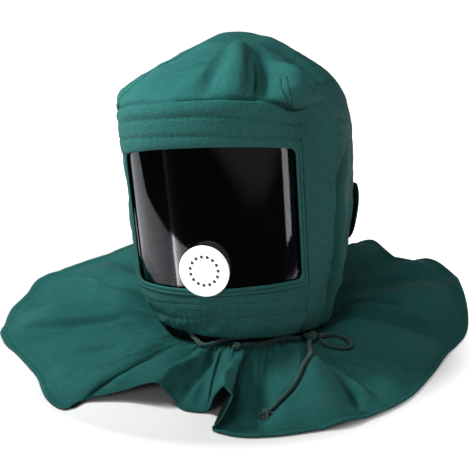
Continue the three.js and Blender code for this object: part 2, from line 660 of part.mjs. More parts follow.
function capePoint(column, share) {
  const start = neckRing(column.turned + column.neck, SEAM_GAP);
  const turn = rad(column.turned + column.hem);
  const reach = column.reach * CAPE_REACH;
  const end = new THREE.Vector3(
    CAPE_AT.x + reach * Math.sin(turn),
    CAPE_AT.y - reach * Math.cos(turn),
    0,
  );
  const heights = [start.z, column.near * CAPE_LIFT, column.mid * CAPE_LIFT, column.edge * CAPE_LIFT];
  const point = start.clone().lerp(end, share);
  point.z = Math.max(0, throughValues(heights, share * 3, false));
  return point;
}

function cape() {
  const columns = capeColumns();
  const rows = spread(1, 0, CAPE_ROWS).map((share) =>
    columns.map((column) => capePoint(column, share)),
  );
  return wall(rows, 0, CLOTH, { round: true });
}

// The flap behind the wearer's left: sewn along its rear edge and standing off in front
function ventFlap() {
  const low = FLAP_FOOT;
  const high = low + FLAP_HEIGHT / HOOD_HEIGHT;
  const rows = spread(low, high, 6).map((height) => {
    const along = (height - low) / (high - low);
    const cut = 0.35 + 0.65 * Math.sin(Math.PI * clamp(along * 0.8 + 0.12, 0, 1));
    return spread(FLAP_SEAM - FLAP_REACH * cut, FLAP_SEAM, 6).map((angle, k) => {
      const off = GAP + FLAP_FLARE * (1 - k / 6) ** 1.5;
      const turn = rad(angle);
      const out = new THREE.Vector3(Math.sin(turn), -Math.cos(turn), 0).transformDirection(lean);
      return hoodPoint(angle, height).addScaledVector(out, off + GAP);
    });
  });
  return wall(rows, 0, CLOTH * 0.8);
}

// Where the drawcord's knot lies, and how large it is
const KNOT_AT = new THREE.Vector3(110.2, -64.4, 29.2);
const KNOT_SIZE = new THREE.Vector3(8, 6.6, 5.6);
const END_KNOT_SIZE = new THREE.Vector3(4.6, 4, 3.8);

// The drawcord's routes, point by point
const NECK_CORD_FRONT = [
  [-9, -114, 33.2],
  [5.5, -125, 32],
  [15.5, -121.5, 33.8],
  [27, -112, 36.2],
  [41, -104.5, 37.4],
  [58, -94.5, 36.6],
  [76, -82, 35.6],
  [89, -71.5, 35],
  [97.4, -65.2, 34],
];
const BOW_LOOP = [
  [117.2, -58, 27.8],
  [120.6, -51.6, 25.6],
  [126.4, -46.4, 24.4],
  [134.5, -44.6, 24],
  [143.5, -46, 23.4],
  [151.2, -50, 22],
  [155, -56, 20.5],
  [151.6, -62.2, 19.6],
  [144.2, -65.8, 19.6],
  [135.8, -66.6, 20.7],
  [127, -66.2, 23],
  [120.4, -65.2, 26.4],
];
const SHORT_END = [
  [100.4, -72, 28.8],
  [95, -76, 30.2],
  [87.5, -81, 32],
  [78, -89, 32.2],
  [71, -96.5, 31.3],
  [64, -103, 31],
  [57, -107.6, 31.8],
  [51.4, -111.4, 33.4],
  [46.6, -117.6, 34.6],
];
const SHORT_KNOT_AT = new THREE.Vector3(43, -123.2, 36.2);
const LONG_END = [
  [111.4, -73.4, 28.2],
  [112, -79.4, 27.4],
  [114, -86, 27.9],
  [117.8, -95.5, 29.2],
  [120.4, -106, 31.4],
  [120.9, -117, 32.3],
  [119.6, -128, 30.6],
  [118.6, -140, 26],
  [117.4, -150, 21.9],
  [114.4, -160, 17.2],
  [109.6, -169, 12.6],
  [105, -178, 9],
  [101.4, -187, 6.4],
];
const LONG_KNOT_AT = new THREE.Vector3(98.4, -193.2, 6.2);
const GROOVE_FROM = -28; // degrees round the neck where the cord goes into the groove
const GROOVE_TO = -302;

// A round cord along a smooth route
function cord(route) {
  const path = new THREE.CatmullRomCurve3(route, false, "centripetal");
  const section = new THREE.Shape();
  const radius = CORD_DIAMETER / 2;
  for (let k = 0; k < CORD_SIDES; k++) {
    const turn = (k / CORD_SIDES) * 2 * Math.PI;
    const corner = [radius * Math.cos(turn), radius * Math.sin(turn)];
    if (k === 0) section.moveTo(...corner);
    else section.lineTo(...corner);
  }
  section.closePath();
  const steps = Math.ceil(path.getLength() / (2.5 * CORD_DIAMETER));
  return new THREE.ExtrudeGeometry(section, { steps, extrudePath: path, curveSegments: 1 });
}

const routeOf = (points) => points.map(([x, y, z]) => new THREE.Vector3(x, y, z));

// The cord in the casing's groove, from the front round the back to the knot
function neckCord() {
  const inset = NECK_INSET + CORD_GROOVE - CORD_DIAMETER;
  const inGroove = spread(GROOVE_FROM, GROOVE_TO, 24).map((angle) => underEdge(angle, inset, 1));
  return cord([...routeOf(NECK_CORD_FRONT).reverse(), ...inGroove]);
}

function knot(place, size) {
  const geometry = new THREE.SphereGeometry(1, 16, 10);
  return geometry.scale(size.x, size.y, size.z).translate(place.x, place.y, place.z);
}

const CLOTH_LOOK = { color: 0x22655b, roughness: 0.9, metalness: 0 };
const BINDING_LOOK = { color: 0x1a5248, roughness: 0.85, metalness: 0 };
const VISOR_LOOK = { color: 0x8a9090, roughness: 0.1, metalness: 0, transparent: true, opacity: 0.3 };
const VALVE_LOOK = { color: 0xf2f2f0, roughness: 0.4, metalness: 0 };
const RUBBER_LOOK = { color: 0x202322, roughness: 0.6, metalness: 0 };

const CORD_LOOK = { color: 0x18352a, roughness: 0.9, metalness: 0 };

const hood = new THREE.Group();

function add(name, geometry, look) {
  const mesh = new THREE.Mesh(geometry, new THREE.MeshStandardMaterial(look));
  mesh.name = name;
  hood.add(mesh);
  return mesh;
}

add("hood_shell", hoodShell(), CLOTH_LOOK);
add("brow_band", browBand(), CLOTH_LOOK);
add("chin_band", chinBand(), CLOTH_LOOK);
add("window_binding", windowBinding(), BINDING_LOOK);
add("visor", visor(), VISOR_LOOK);
add("valve_body", valveBody(), RUBBER_LOOK);
add("valve_nut", valveNut(), RUBBER_LOOK);
add("valve_cover", valveCover(), VALVE_LOOK);
add("neck_casing", neckCasing(), CLOTH_LOOK);
add("cape", cape(), CLOTH_LOOK);
add("vent_flap", ventFlap(), CLOTH_LOOK);
add("neck_cord", neckCord(), CORD_LOOK);
add("bow_knot", knot(KNOT_AT, KNOT_SIZE), CORD_LOOK);
add("bow_loop", cord(routeOf(BOW_LOOP)), CORD_LOOK);
add("short_end", cord(routeOf(SHORT_END)), CORD_LOOK);
add("long_end", cord(routeOf(LONG_END)), CORD_LOOK);
add("short_end_knot", knot(SHORT_KNOT_AT, END_KNOT_SIZE), CORD_LOOK);
add("long_end_knot", knot(LONG_KNOT_AT, END_KNOT_SIZE), CORD_LOOK);

export default hood;
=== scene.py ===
import math

import bpy
import numpy as np
from mathutils import Matrix, Vector


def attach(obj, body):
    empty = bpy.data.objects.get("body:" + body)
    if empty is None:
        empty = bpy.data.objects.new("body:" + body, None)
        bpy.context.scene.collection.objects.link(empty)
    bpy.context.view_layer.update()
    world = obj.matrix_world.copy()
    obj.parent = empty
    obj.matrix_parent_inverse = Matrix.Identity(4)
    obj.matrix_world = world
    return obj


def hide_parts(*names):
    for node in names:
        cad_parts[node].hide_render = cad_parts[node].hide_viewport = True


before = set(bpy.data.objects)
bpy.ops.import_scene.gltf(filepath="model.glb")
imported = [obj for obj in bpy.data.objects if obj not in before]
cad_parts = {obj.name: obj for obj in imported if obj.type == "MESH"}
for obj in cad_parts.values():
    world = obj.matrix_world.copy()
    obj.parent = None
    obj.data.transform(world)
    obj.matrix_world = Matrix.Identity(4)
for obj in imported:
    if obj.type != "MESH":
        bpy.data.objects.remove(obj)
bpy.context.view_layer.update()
MM = 0.001

# Camera: the photo's angle, in degrees and metres
AZIMUTH = 18
ELEVATION = 24
TARGET = Vector((0.0292, -0.0869, 0.150))
DISTANCE = 1.3
LENS = 93.06
SENSOR = 36
turn, rise = math.radians(AZIMUTH), math.radians(ELEVATION)
towards_camera = Vector((math.sin(turn) * math.cos(rise), -math.cos(turn) * math.cos(rise), math.sin(rise)))
camera_data = bpy.data.cameras.new("camera")
camera_data.lens = LENS
camera_data.sensor_width = SENSOR
camera = bpy.data.objects.new("camera", camera_data)
bpy.context.scene.collection.objects.link(camera)
camera.location = TARGET + towards_camera * DISTANCE
camera.rotation_euler = towards_camera.to_track_quat("Z", "Y").to_euler()
bpy.context.scene.camera = camera

# Sizes in millimetres and degrees, as in the part
HOOD_HEIGHT = 312.0
FACE_RADIUS = 118.0
REAR_REACH = 156.0
FACE_CENTRE_Y = 4.0
APEX_X = 5.0
APEX_Y = 41.0
LEAN_BACK = 10.5
LEAN_SIDE = 8.0
FACE_FLARE = 3.5
NECK_AT = np.array([14.2, -16.9, 28.0])
NECK_BACK_RISE = 16.0
NECK_LEVEL = 0.7
WINDOW_HEIGHT = 142.0
WINDOW_HALF_ANGLE = 53.0
WINDOW_SILL = 50.0
WINDOW_ARCH = 11.0
WINDOW_CORNER = 7.0
WINDOW_HEAD = WINDOW_SILL + WINDOW_HEIGHT
BINDING_WIDTH = 8.0
CREASE = 20.0
CAPE_REACH = 270.0
CAPE_AT = np.array([14.2, 15.1, 0.0])
CAPE_LIFT = 42.0
NECK_INSET = 13.0
NECK_DROP = 11.0
NECK_LOWEST = 5.0
CORD_GROOVE = 9.0
NECK_SAG = 8.0
SAG_ANGLE = -30.0
SAG_WIDTH = 42.0
VALVE_ANGLE = 1.2
VALVE_HEIGHT = 22.0
VISOR_LAP = 5.5
CORD_DIAMETER = 4.6
FRONT_FULLNESS = 2.0
REAR_FULLNESS = 2.3
CROWN_PITCH = 62.0

# Thicknesses of the cloths and of the pane in millimetres
HOOD_THICK = 1.6
TAPE_THICK = 1.2
NECK_THICK = 1.2
CAPE_THICK = 1.5
FLAP_THICK = 1.1
PANE_THICK = 1.5

# The head part's sections: height, front, right, left, rear, apex
SECTIONS = np.array([
    [-0.02, 0.93, 0.89, 0.87, 0.58, 0],
    [0.04, 0.965, 0.935, 0.94, 0.67, 0],
    [0.1, 1, 0.97, 1.01, 0.76, 0],
    [0.16, 1, 0.995, 1.05, 0.85, 0],
    [0.32, 1, 1.01, 1.1, 0.96, 0],
    [0.48, 1, 1.02, 1.12, 1, 0],
    [0.62, 1, 1.035, 1.12, 0.99, 0],
    [0.72, 0.995, 1.055, 1.09, 0.94, 0],
    [0.785, 0.965, 1.075, 1.02, 0.86, 0.05],
    [0.845, 0.82, 0.985, 0.87, 0.74, 0.25],
    [0.915, 0.56, 0.7, 0.61, 0.54, 0.6],
    [0.97, 0.28, 0.36, 0.35, 0.31, 0.85],
    [1, 0, 0, 0, 0, 1],
])

# Folds and dents: angle, width on its right and on its left, drift, low, peak, high, rise
FOLDS = (
    (20, 15, 13, 6, 0.74, 0.9, 1.04, 0.4),
    (5, 10, 7, 2, 0.76, 0.86, 0.98, -0.3),
    (34, 5, 14, 8, 0.75, 0.855, 0.95, -1.1),
    (58, 21, 21, -8, 0.72, 0.83, 0.915, 1.25),
    (86, 15, 15, -22, 0.45, 0.68, 0.85, 0.4),
    (100, 22, 22, -26, 0.7, 0.84, 0.99, -0.5),
    (97, 11, 11, 2, -0.05, 0.18, 0.6, -0.45),
    (82, 9, 9, 2, -0.05, 0.16, 0.5, 0.2),
    (-45, 20, 20, 14, 0.77, 0.86, 0.97, 0.22),
    (-86, 16, 16, 0, 0.76, 0.83, 0.95, -0.3),
    (-110, 20, 20, 6, 0.05, 0.3, 0.72, -0.3),
    (150, 18, 18, -8, 0.1, 0.42, 0.85, 0.28),
    (-150, 18, 18, 8, 0.02, 0.3, 0.8, 0.3),
    (180, 16, 16, 0, -0.05, 0.2, 0.6, -0.3),
)


def smooth(value, low, high):
    share = np.clip((value - low) / (high - low), 0, 1)
    return share * share * (3 - 2 * share)


def around(angle):
    return (angle + 180) % 360 - 180


def bell(off, width):
    """1 at no offset, fading to both sides."""
    return np.exp(-((off / width) ** 2))


def cubic(start, end, leaving, arriving, share):
    """A smooth step between two values, with the slopes at its ends."""
    return (start + leaving * share + (3 * (end - start) - 2 * leaving - arriving) * share**2
            + (2 * (start - end) + leaving + arriving) * share**3)


def through(values, at, closed=False):
    """A smooth curve through values at whole steps."""
    values = np.asarray(values, float)
    count = len(values)
    start = np.clip(np.floor(at).astype(int), 0, count - (1 if closed else 2))
    a, b, c, d = (values[k % count] if closed else values[np.clip(k, 0, count - 1)]
                  for k in (start - 1, start, start + 1, start + 2))
    return cubic(b, c, (c - a) / 2, (d - b) / 2, at - start)


def fold_at(angle, height):
    total = np.zeros(np.broadcast(angle, height).shape)
    for middle, right, left, drift, low, peak, high, rise in FOLDS:
        share = (height - low) / (high - low)
        off = around(angle - middle - drift * share)
        off = np.clip(np.where(off < 0, off / right, off / left), -1, 1)
        along = np.where(height < peak, (height - low) / (peak - low), (high - height) / (high - peak))
        total = total + rise * CREASE * smooth(along, 0, 1) * (0.5 + 0.5 * np.cos(np.pi * off))
    return total


def turn_matrix(axis, degrees):
    return np.array(Matrix.Rotation(math.radians(degrees), 3, axis))


LEAN = turn_matrix("X", -LEAN_BACK) @ turn_matrix("Y", -LEAN_SIDE)


def flare_at(height):
    share = (height * HOOD_HEIGHT - WINDOW_SILL) / WINDOW_HEIGHT
    return FACE_FLARE * np.clip(share, -0.2, 1.3) * (1 - smooth(height, 0.8, 0.95))


def arch_at(angle, height):
    sill, head = WINDOW_SILL / HOOD_HEIGHT, WINDOW_HEAD / HOOD_HEIGHT
    bow = np.maximum(0, 1 - (around(angle) / WINDOW_HALF_ANGLE) ** 2)
    rising = np.clip((height - sill) / (head - sill), 0, 1)
    falling = np.clip((1 - height) / (1 - head), 0, 1)
    return WINDOW_ARCH * bow * rising * falling


def hood(angle, height):
    """Points of the head part's outer surface, by angle round its axis and height share."""
    angle, height = np.broadcast_arrays(np.asarray(angle, float), np.asarray(height, float))
    at = np.interp(height, SECTIONS[:, 0], np.arange(len(SECTIONS)))
    front, right, left, rear = (
        np.maximum(through(SECTIONS[:, column], at), 0) * reach
        for column, reach in ((1, FACE_RADIUS), (2, FACE_RADIUS), (3, FACE_RADIUS), (4, REAR_REACH)))
    apex = np.clip(through(SECTIONS[:, 5], at), 0, 1)
    turn = np.radians(angle)
    across, along = np.abs(np.sin(turn)), np.cos(turn)
    side = np.maximum(np.where(around(angle) > 0, left, right), 1e-6)
    depth = np.maximum(np.where(along > 0, front, rear), 1e-6)
    fullness = np.where(along > 0, FRONT_FULLNESS, REAR_FULLNESS)
    body = ((across / side) ** fullness + (np.abs(along) / depth) ** fullness) ** (-1 / fullness)
    facing = 1 - smooth(np.abs(around(angle)), WINDOW_HALF_ANGLE + 6, 92)
    face = facing * (1 - smooth(height, 0.74, 0.84)) * smooth(height, -0.06, 0.12)
    radius = np.where(side < 1e-3, 0, body + (front - body) * face + flare_at(height))
    out = np.stack([np.sin(turn), -np.cos(turn), np.zeros_like(turn)], -1)
    point = out * radius[..., None]
    point[..., 0] += APEX_X * apex
    point[..., 1] += FACE_CENTRE_Y + APEX_Y * apex
    back = smooth(-along, 0, 1)
    level = -NECK_LEVEL * point[..., 0] * math.tan(math.radians(LEAN_SIDE))
    point[..., 2] = (height * HOOD_HEIGHT + arch_at(angle, height)
                     + NECK_BACK_RISE * back * (1 - smooth(height, 0, 0.4))
                     + level * (1 - smooth(height, 0, 0.12)))
    pitch = math.radians(CROWN_PITCH) * smooth(height, 0.74, 0.92)
    push = out * np.cos(pitch)[..., None]
    push[..., 2] = np.sin(pitch)
    return (point + push * fold_at(angle, height)[..., None]) @ LEAN.T + NECK_AT


def face_point(angle, height, out):
    """Points in front of or behind the face's curve: height is in millimetres over the neck."""
    angle, height, out = np.broadcast_arrays(*(np.asarray(v, float) for v in (angle, height, out)))
    reach = FACE_RADIUS + flare_at(height / HOOD_HEIGHT) + out
    turn = np.radians(angle)
    place = np.stack([reach * np.sin(turn), FACE_CENTRE_Y - reach * np.cos(turn),
                      height + arch_at(angle, height / HOOD_HEIGHT)], -1)
    return place @ LEAN.T + NECK_AT


LOWER_EDGE = SECTIONS[0, 0]
NOTCH_ANGLE = WINDOW_HALF_ANGLE + math.degrees(BINDING_WIDTH / FACE_RADIUS)
NOTCH_HEAD = (WINDOW_HEAD + BINDING_WIDTH) / HOOD_HEIGHT


def under_edge(angle, inset, drop):
    """Points of the lower edge, moved in towards the axis and down."""
    point = hood(angle, LOWER_EDGE)
    middle = np.array([NECK_AT[0], NECK_AT[1] + FACE_CENTRE_Y])
    inward = middle - point[..., :2]
    inward /= np.linalg.norm(inward, axis=-1, keepdims=True)
    point[..., :2] += inward * np.broadcast_to(inset, point.shape[:-1])[..., None]
    point[..., 2] = np.maximum(point[..., 2] - drop, NECK_LOWEST)
    return point


def neck_ring(angle, grow):
    off = np.clip(around(angle - SAG_ANGLE) / SAG_WIDTH, -1, 1)
    return under_edge(angle, NECK_INSET - grow, NECK_DROP + NECK_SAG * (0.5 + 0.5 * np.cos(np.pi * off)))


# The cape, a row for each fold: neck angle, hem angle, reach, and heights near, mid and edge
CAPE = np.array([
    [3, 5, 0.83, 0.5, 0.3, 0.02],
    [6, 6.4, 0.826, 0.56, 0.42, 0.12],
    [9, 8.4, 0.842, 0.64, 0.72, 0.62],
    [13, 12, 0.856, 0.72, 0.95, 1],
    [18, 13.6, 0.885, 0.66, 0.85, 0.85],
    [22, 11.4, 0.93, 0.46, 0.45, 0.32],
    [26, 9, 0.945, 0.3, -0.03, -0.08],
    [30, 15, 0.975, 0.2, -0.03, -0.08],
    [36, 22, 0.975, 0.18, -0.03, -0.08],
    [42, 31, 0.965, 0.42, 0.32, -0.08],
    [49, 40, 0.965, 0.66, 0.6, 0.12],
    [56, 48, 0.955, 0.4, 0.24, -0.08],
    [64, 58, 0.94, 0.3, -0.03, -0.08],
    [74, 71, 0.905, 0.42, 0.22, -0.08],
    [84, 84, 0.9, 0.6, 0.46, 0.02],
    [93, 96, 0.945, 0.32, -0.03, -0.08],
    [103, 107, 0.965, 0.42, 0.3, 0.06],
    [113, 119, 0.985, 0.58, 0.6, 0.3],
    [123, 129, 1.03, 0.3, 0.2, 0.14],
    [133, 138, 1.005, 0.36, 0.42, 0.2],
    [142, 146, 0.945, 0.26, -0.03, -0.08],
    [151, 154, 0.87, 0.4, 0.5, 0.5],
    [163, 165, 0.83, 0.3, 0.15, 0.02],
    [176, 178, 0.85, 0.4, 0.4, 0.2],
    [190, 191, 0.87, 0.28, -0.03, -0.08],
    [204, 204, 0.87, 0.38, 0.34, 0.12],
    [217, 217, 0.875, 0.26, -0.03, -0.08],
    [230, 229, 0.88, 0.36, 0.36, 0.16],
    [242, 241, 0.89, 0.32, 0.2, 0.18],
    [253, 251, 0.945, 0.36, 0.22, 0.04],
    [263, 261, 0.995, 0.4, 0.2, -0.08],
    [272, 269, 1.045, 0.42, 0.24, -0.08],
    [281, 277, 1.035, 0.34, -0.03, -0.08],
    [289, 286, 1.06, 0.46, 0.3, -0.08],
    [296, 294, 1.07, 0.56, 0.5, 0.02],
    [304, 300.5, 1.085, 0.42, 0.3, 0.1],
    [313, 309, 1.035, 0.34, 0.14, -0.08],
    [321, 320, 1.02, 0.3, -0.03, -0.08],
    [328, 329.5, 1.07, 0.32, 0.16, -0.08],
    [334, 335.6, 1.065, 0.36, 0.26, -0.08],
    [339, 336.6, 0.97, 0.4, 0.34, 0.05],
    [344, 343, 0.875, 0.5, 0.52, 0.22],
    [350, 351, 0.83, 0.6, 0.72, 0.58],
    [354, 355, 0.808, 0.52, 0.5, 0.2],
    [359, 360, 0.833, 0.46, 0.24, -0.08],
])


def cape_columns(at):
    """The cape's columns at places in its table, as neck angle, hem angle, reach and heights."""
    turned = at * 360 / len(CAPE)
    base = np.arange(len(CAPE)) * 360 / len(CAPE)
    angles = [through(CAPE[:, k] - base, at, True) + turned for k in (0, 1)]
    return angles + [through(CAPE[:, k], at, True) for k in (2, 3, 4, 5)]


def cape_point(at, share):
    """Points of the cape's under side: at is a place in its table, share goes from neck to hem."""
    at, share = np.broadcast_arrays(np.asarray(at, float), np.asarray(share, float))
    neck, hem, reach, near, mid, edge = cape_columns(at % len(CAPE))
    start = neck_ring(neck, 0.6)
    turn = np.radians(hem)
    end = CAPE_AT + np.stack([reach * CAPE_REACH * np.sin(turn), -reach * CAPE_REACH * np.cos(turn),
                              np.zeros_like(turn)], -1)
    point = start + (end - start) * share[..., None]
    heights = [start[..., 2]] + [CAPE_LIFT * value for value in (near, mid, edge)]
    step = np.clip(np.floor(share * 3).astype(int), 0, 2)
    rest = share * 3 - step
    a, b, c, d = (np.choose(np.clip(step + k, 0, 3), heights) for k in (-1, 0, 1, 2))
    point[..., 2] = np.maximum(0, cubic(b, c, (c - a) / 2, (d - b) / 2, rest))
    return point


# Making meshes: corners closer than this, in metres, become one
WELD_DISTANCE = 2e-6


def piece(name, corners, faces, uvs, material, slot, replaced=()):
    """A named piece from corners in millimetres, with texture places in metres."""
    mesh = bpy.data.meshes.new(name)
    mesh.from_pydata((np.asarray(corners) * MM).tolist(), [], faces)
    layer = mesh.uv_layers.new(name="flat")
    loops = np.empty(len(mesh.loops), int)
    mesh.loops.foreach_get("vertex_index", loops)
    layer.data.foreach_set("uv", np.asarray(uvs, float)[loops].ravel())
    mesh.polygons.foreach_set("use_smooth", [True] * len(mesh.polygons))
    mesh.update()
    made = bpy.data.objects.new(name, mesh)
    bpy.context.scene.collection.objects.link(made)
    mesh.materials.append(material)
    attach(made, "root")
    if replaced:
        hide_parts(*replaced)
    return made


def apply_modifiers(made):
    bpy.ops.object.select_all(action="DESELECT")
    made.select_set(True)
    bpy.context.view_layer.objects.active = made
    for modifier in list(made.modifiers):
        bpy.ops.object.modifier_apply(modifier=modifier.name)


def weld(made):
    made.modifiers.new("weld", "WELD").merge_threshold = WELD_DISTANCE


def thicken(made, thickness, lining=None):
    """Gives a cloth its thickness inwards; lining is the inner side's material."""
    modifier = made.modifiers.new("thickness", "SOLIDIFY")
    modifier.thickness = thickness * MM
    modifier.offset = -1
    if lining:
        made.data.materials.append(lining)
        modifier.material_offset = 1
        modifier.material_offset_rim = 0


def run_lengths(points):
    """Lengths along the columns and rows of a grid of points, in metres."""
    across = np.linalg.norm(np.diff(points, axis=1), axis=-1)
    up = np.linalg.norm(np.diff(points, axis=0), axis=-1)
    u = np.concatenate([np.zeros((len(points), 1)), np.cumsum(across, axis=1)], 1)
    v = np.concatenate([np.zeros((1, points.shape[1])), np.cumsum(up, axis=0)], 0)
    u = u - u[:, [points.shape[1] // 2]]
    return np.stack([u, v], -1) * MM


def cloth(name, points, material, slot, replaced, thickness, keep=None, flip=False, lining=None):
    """A cloth from rows of points, thickened away from its outer side."""
    rows, columns = points.shape[:2]
    place = np.arange(rows * columns).reshape(rows, columns)
    quads = np.stack([place[:-1, :-1], place[:-1, 1:], place[1:, 1:], place[1:, :-1]], -1)
    if keep is not None:
        quads = quads[keep]
    quads = quads.reshape(-1, 4)
    if flip:
        quads = quads[:, ::-1]
    used = np.unique(quads)
    order = np.full(rows * columns, -1)
    order[used] = np.arange(len(used))
    made = piece(name, points.reshape(-1, 3)[used], order[quads].tolist(),
                 run_lengths(points).reshape(-1, 2)[used], material, slot, replaced)
    weld(made)
    thicken(made, thickness, lining)
    apply_modifiers(made)


def closed_rows(rows):
    """Rows of points that run round, with each row's end on its start."""
    rows = np.array(rows)
    rows[:, -1] = rows[:, 0]
    return rows


def run_along(route):
    """The length run along a route, at each of its points."""
    return np.concatenate([[0], np.cumsum(np.linalg.norm(np.diff(route, axis=0), axis=1))])


def read_at(route, run, at):
    """Points of a route by the length run."""
    return np.stack([np.interp(at, run, route[:, k]) for k in range(3)], -1)


def smooth_route(points, step):
    """Evenly spaced points on a smooth curve through the given ones."""
    points = np.asarray(points, float)
    points = np.concatenate([2 * points[:1] - points[1:2], points, 2 * points[-1:] - points[-2:-1]])
    dense = []
    for k in range(1, len(points) - 2):
        a, b, c, d = points[k - 1:k + 3]
        ab, bc, cd = (max(np.linalg.norm(q - p), 1e-6) ** 0.5 for p, q in ((a, b), (b, c), (c, d)))
        first = ((b - a) / ab - (c - a) / (ab + bc) + (c - b) / bc) * bc
        last = ((c - b) / bc - (d - b) / (bc + cd) + (d - c) / cd) * bc
        dense.append(cubic(b, c, first, last, np.linspace(0, 1, 24, endpoint=False)[:, None]))
    dense = np.concatenate(dense + [points[-2:-1]])
    run = run_along(dense)
    return read_at(dense, run, np.linspace(0, run[-1], max(4, round(run[-1] / step)) + 1))


def on_surface(surface, places, spread, fine_step, out, step=1.5):
    """An even route on a surface through places, which are spread to about their real lengths."""
    flat = np.column_stack([np.asarray(places, float) * spread, np.zeros(len(places))])
    dense = smooth_route(flat, fine_step)[:, :2] / spread
    points = surface(dense[:, 0], dense[:, 1], out)
    run = run_along(points)
    return read_at(points, run, np.linspace(0, run[-1], max(3, int(run[-1] / step))))


def tube_parts(route, radius, sides, closed=False):
    """Corners, faces and texture places of a tube along a route; radius is one or one each."""
    route = np.asarray(route, float)
    count = len(route)
    ahead = np.gradient(route, axis=0)
    if closed:
        ahead[0] = ahead[-1] = route[1] - route[-2]
    ahead /= np.linalg.norm(ahead, axis=1)[:, None]
    side = np.cross(ahead[0], [0.3, 0.2, 1])
    sides_out = []
    for direction in ahead:
        side = side - direction * (side @ direction)
        side = side / np.linalg.norm(side)
        sides_out.append(side)
    sides_out = np.array(sides_out)
    tops = np.cross(ahead, sides_out)
    turns = np.linspace(0, 2 * np.pi, sides + 1)
    radii = np.broadcast_to(np.asarray(radius, float), (count,))
    rings = route[:, None] + radii[:, None, None] * (
        np.cos(turns)[None, :, None] * sides_out[:, None] + np.sin(turns)[None, :, None] * tops[:, None])
    uvs = np.stack(np.meshgrid(run_along(route), turns * float(np.mean(radii)), indexing="ij"), -1) * MM
    place = np.arange(count * (sides + 1)).reshape(count, sides + 1)
    quads = np.stack([place[:-1, :-1], place[1:, :-1], place[1:, 1:], place[:-1, 1:]], -1).reshape(-1, 4)
    faces = quads[:, ::-1].tolist()
    corners, flat = rings.reshape(-1, 3), uvs.reshape(-1, 2)
    if not closed:
        for ring, end in ((place[0], route[0]), (place[-1], route[-1])):
            middle = len(corners)
            corners = np.concatenate([corners, [end]])
            flat = np.concatenate([flat, [flat[ring[0]]]])
            pairs = zip(ring[:-1], ring[1:])
            fan = [[middle, b, a] if ring is place[0] else [middle, a, b] for a, b in pairs]
            faces += [[int(c) for c in face] for face in fan]
    return corners, faces, flat


def joined(parts):
    """Several (corners, faces, texture places) as one."""
    corners, faces, flat, start = [], [], [], 0
    for some, facets, uvs in parts:
        corners.append(some)
        flat.append(uvs)
        faces += [[c + start for c in facet] for facet in facets]
        start += len(some)
    return np.concatenate(corners), faces, np.concatenate(flat)


def joined_piece(parts, name, material, slot, replaced=()):
    made = piece(name, *joined(parts), material, slot, replaced)
    weld(made)
    apply_modifiers(made)
    return made


def tubes(name, routes, radius, sides, material, slot, replaced=(), closed=False):
    parts = [tube_parts(route, radius, sides, closed) for route in routes]
    return joined_piece(parts, name, material, slot, replaced)


STITCH_SHAPE = np.array([0.35, 0.9, 1, 0.9, 0.35])


def stitches(name, routes, material, long, space, radius):
    """Rows of stitches along routes of points that already lie on the cloth."""
    parts = []
    for route in routes:
        run = run_along(route)
        for start in np.arange(0, run[-1] - long, long + space):
            line = read_at(route, run, np.linspace(start, start + long, len(STITCH_SHAPE)))
            parts.append(tube_parts(line, radius * STITCH_SHAPE, 6))
    joined_piece(parts, name, material, "binding")


# The cloth's unevenness

def ripples(points, seed, sizes, waves=5):
    """Soft random unevenness of about -1 to 1 over points in millimetres."""
    random = np.random.default_rng(seed)
    total = np.zeros(points.shape[:-1])
    for size in sizes:
        for _ in range(waves):
            direction = random.normal(size=3)
            direction *= 2 * np.pi / (size * random.uniform(0.8, 1.3) * np.linalg.norm(direction))
            bend = random.normal(size=3) * 2 * np.pi / (size * 4)
            total += size / sizes[0] * np.sin(points @ direction + random.uniform(0, 6.3)
                                              + 1.3 * np.sin(points @ bend + random.uniform(0, 6.3)))
    return total / (1.6 * math.sqrt(waves))


# A stroke fades over a share of its length at both ends, from a little beyond its tips
STROKE_TIP = 0.02
STROKE_FADE = 0.22


def stroke(points, line, width, power=2):
    """How near points are to a line: 1 on it, fading with distance and towards its ends."""
    flat = points.reshape(-1, 3)
    best = np.full(len(flat), 1e9)
    where = np.zeros(len(flat))
    run = run_along(line)
    for k in range(len(line) - 1):
        step = line[k + 1] - line[k]
        along = np.clip((flat - line[k]) @ step / max(step @ step, 1e-9), 0, 1)
        off = np.linalg.norm(flat - line[k] - along[:, None] * step, axis=1)
        nearer = off < best
        best = np.where(nearer, off, best)
        where = np.where(nearer, run[k] + along * math.sqrt(step @ step), where)
    share = where / run[-1]
    fade = smooth(share, -STROKE_TIP, STROKE_FADE) * (1 - smooth(share, 1 - STROKE_FADE, 1 + STROKE_TIP))
    return (np.exp(-((best / width) ** power)) * fade).reshape(points.shape[:-1])


# Flat-topped rolls on the head part: width and rise in millimetres, and places as angle and height share
HOOD_ROLLS = (
    (11.5, 4.2, ((17, 0.962), (21, 0.945), (22, 0.9), (21.5, 0.846), (21, 0.79), (21, 0.765))),
    (10, 3.6, ((43, 0.79), (49, 0.795), (56, 0.785), (63, 0.765))),
)

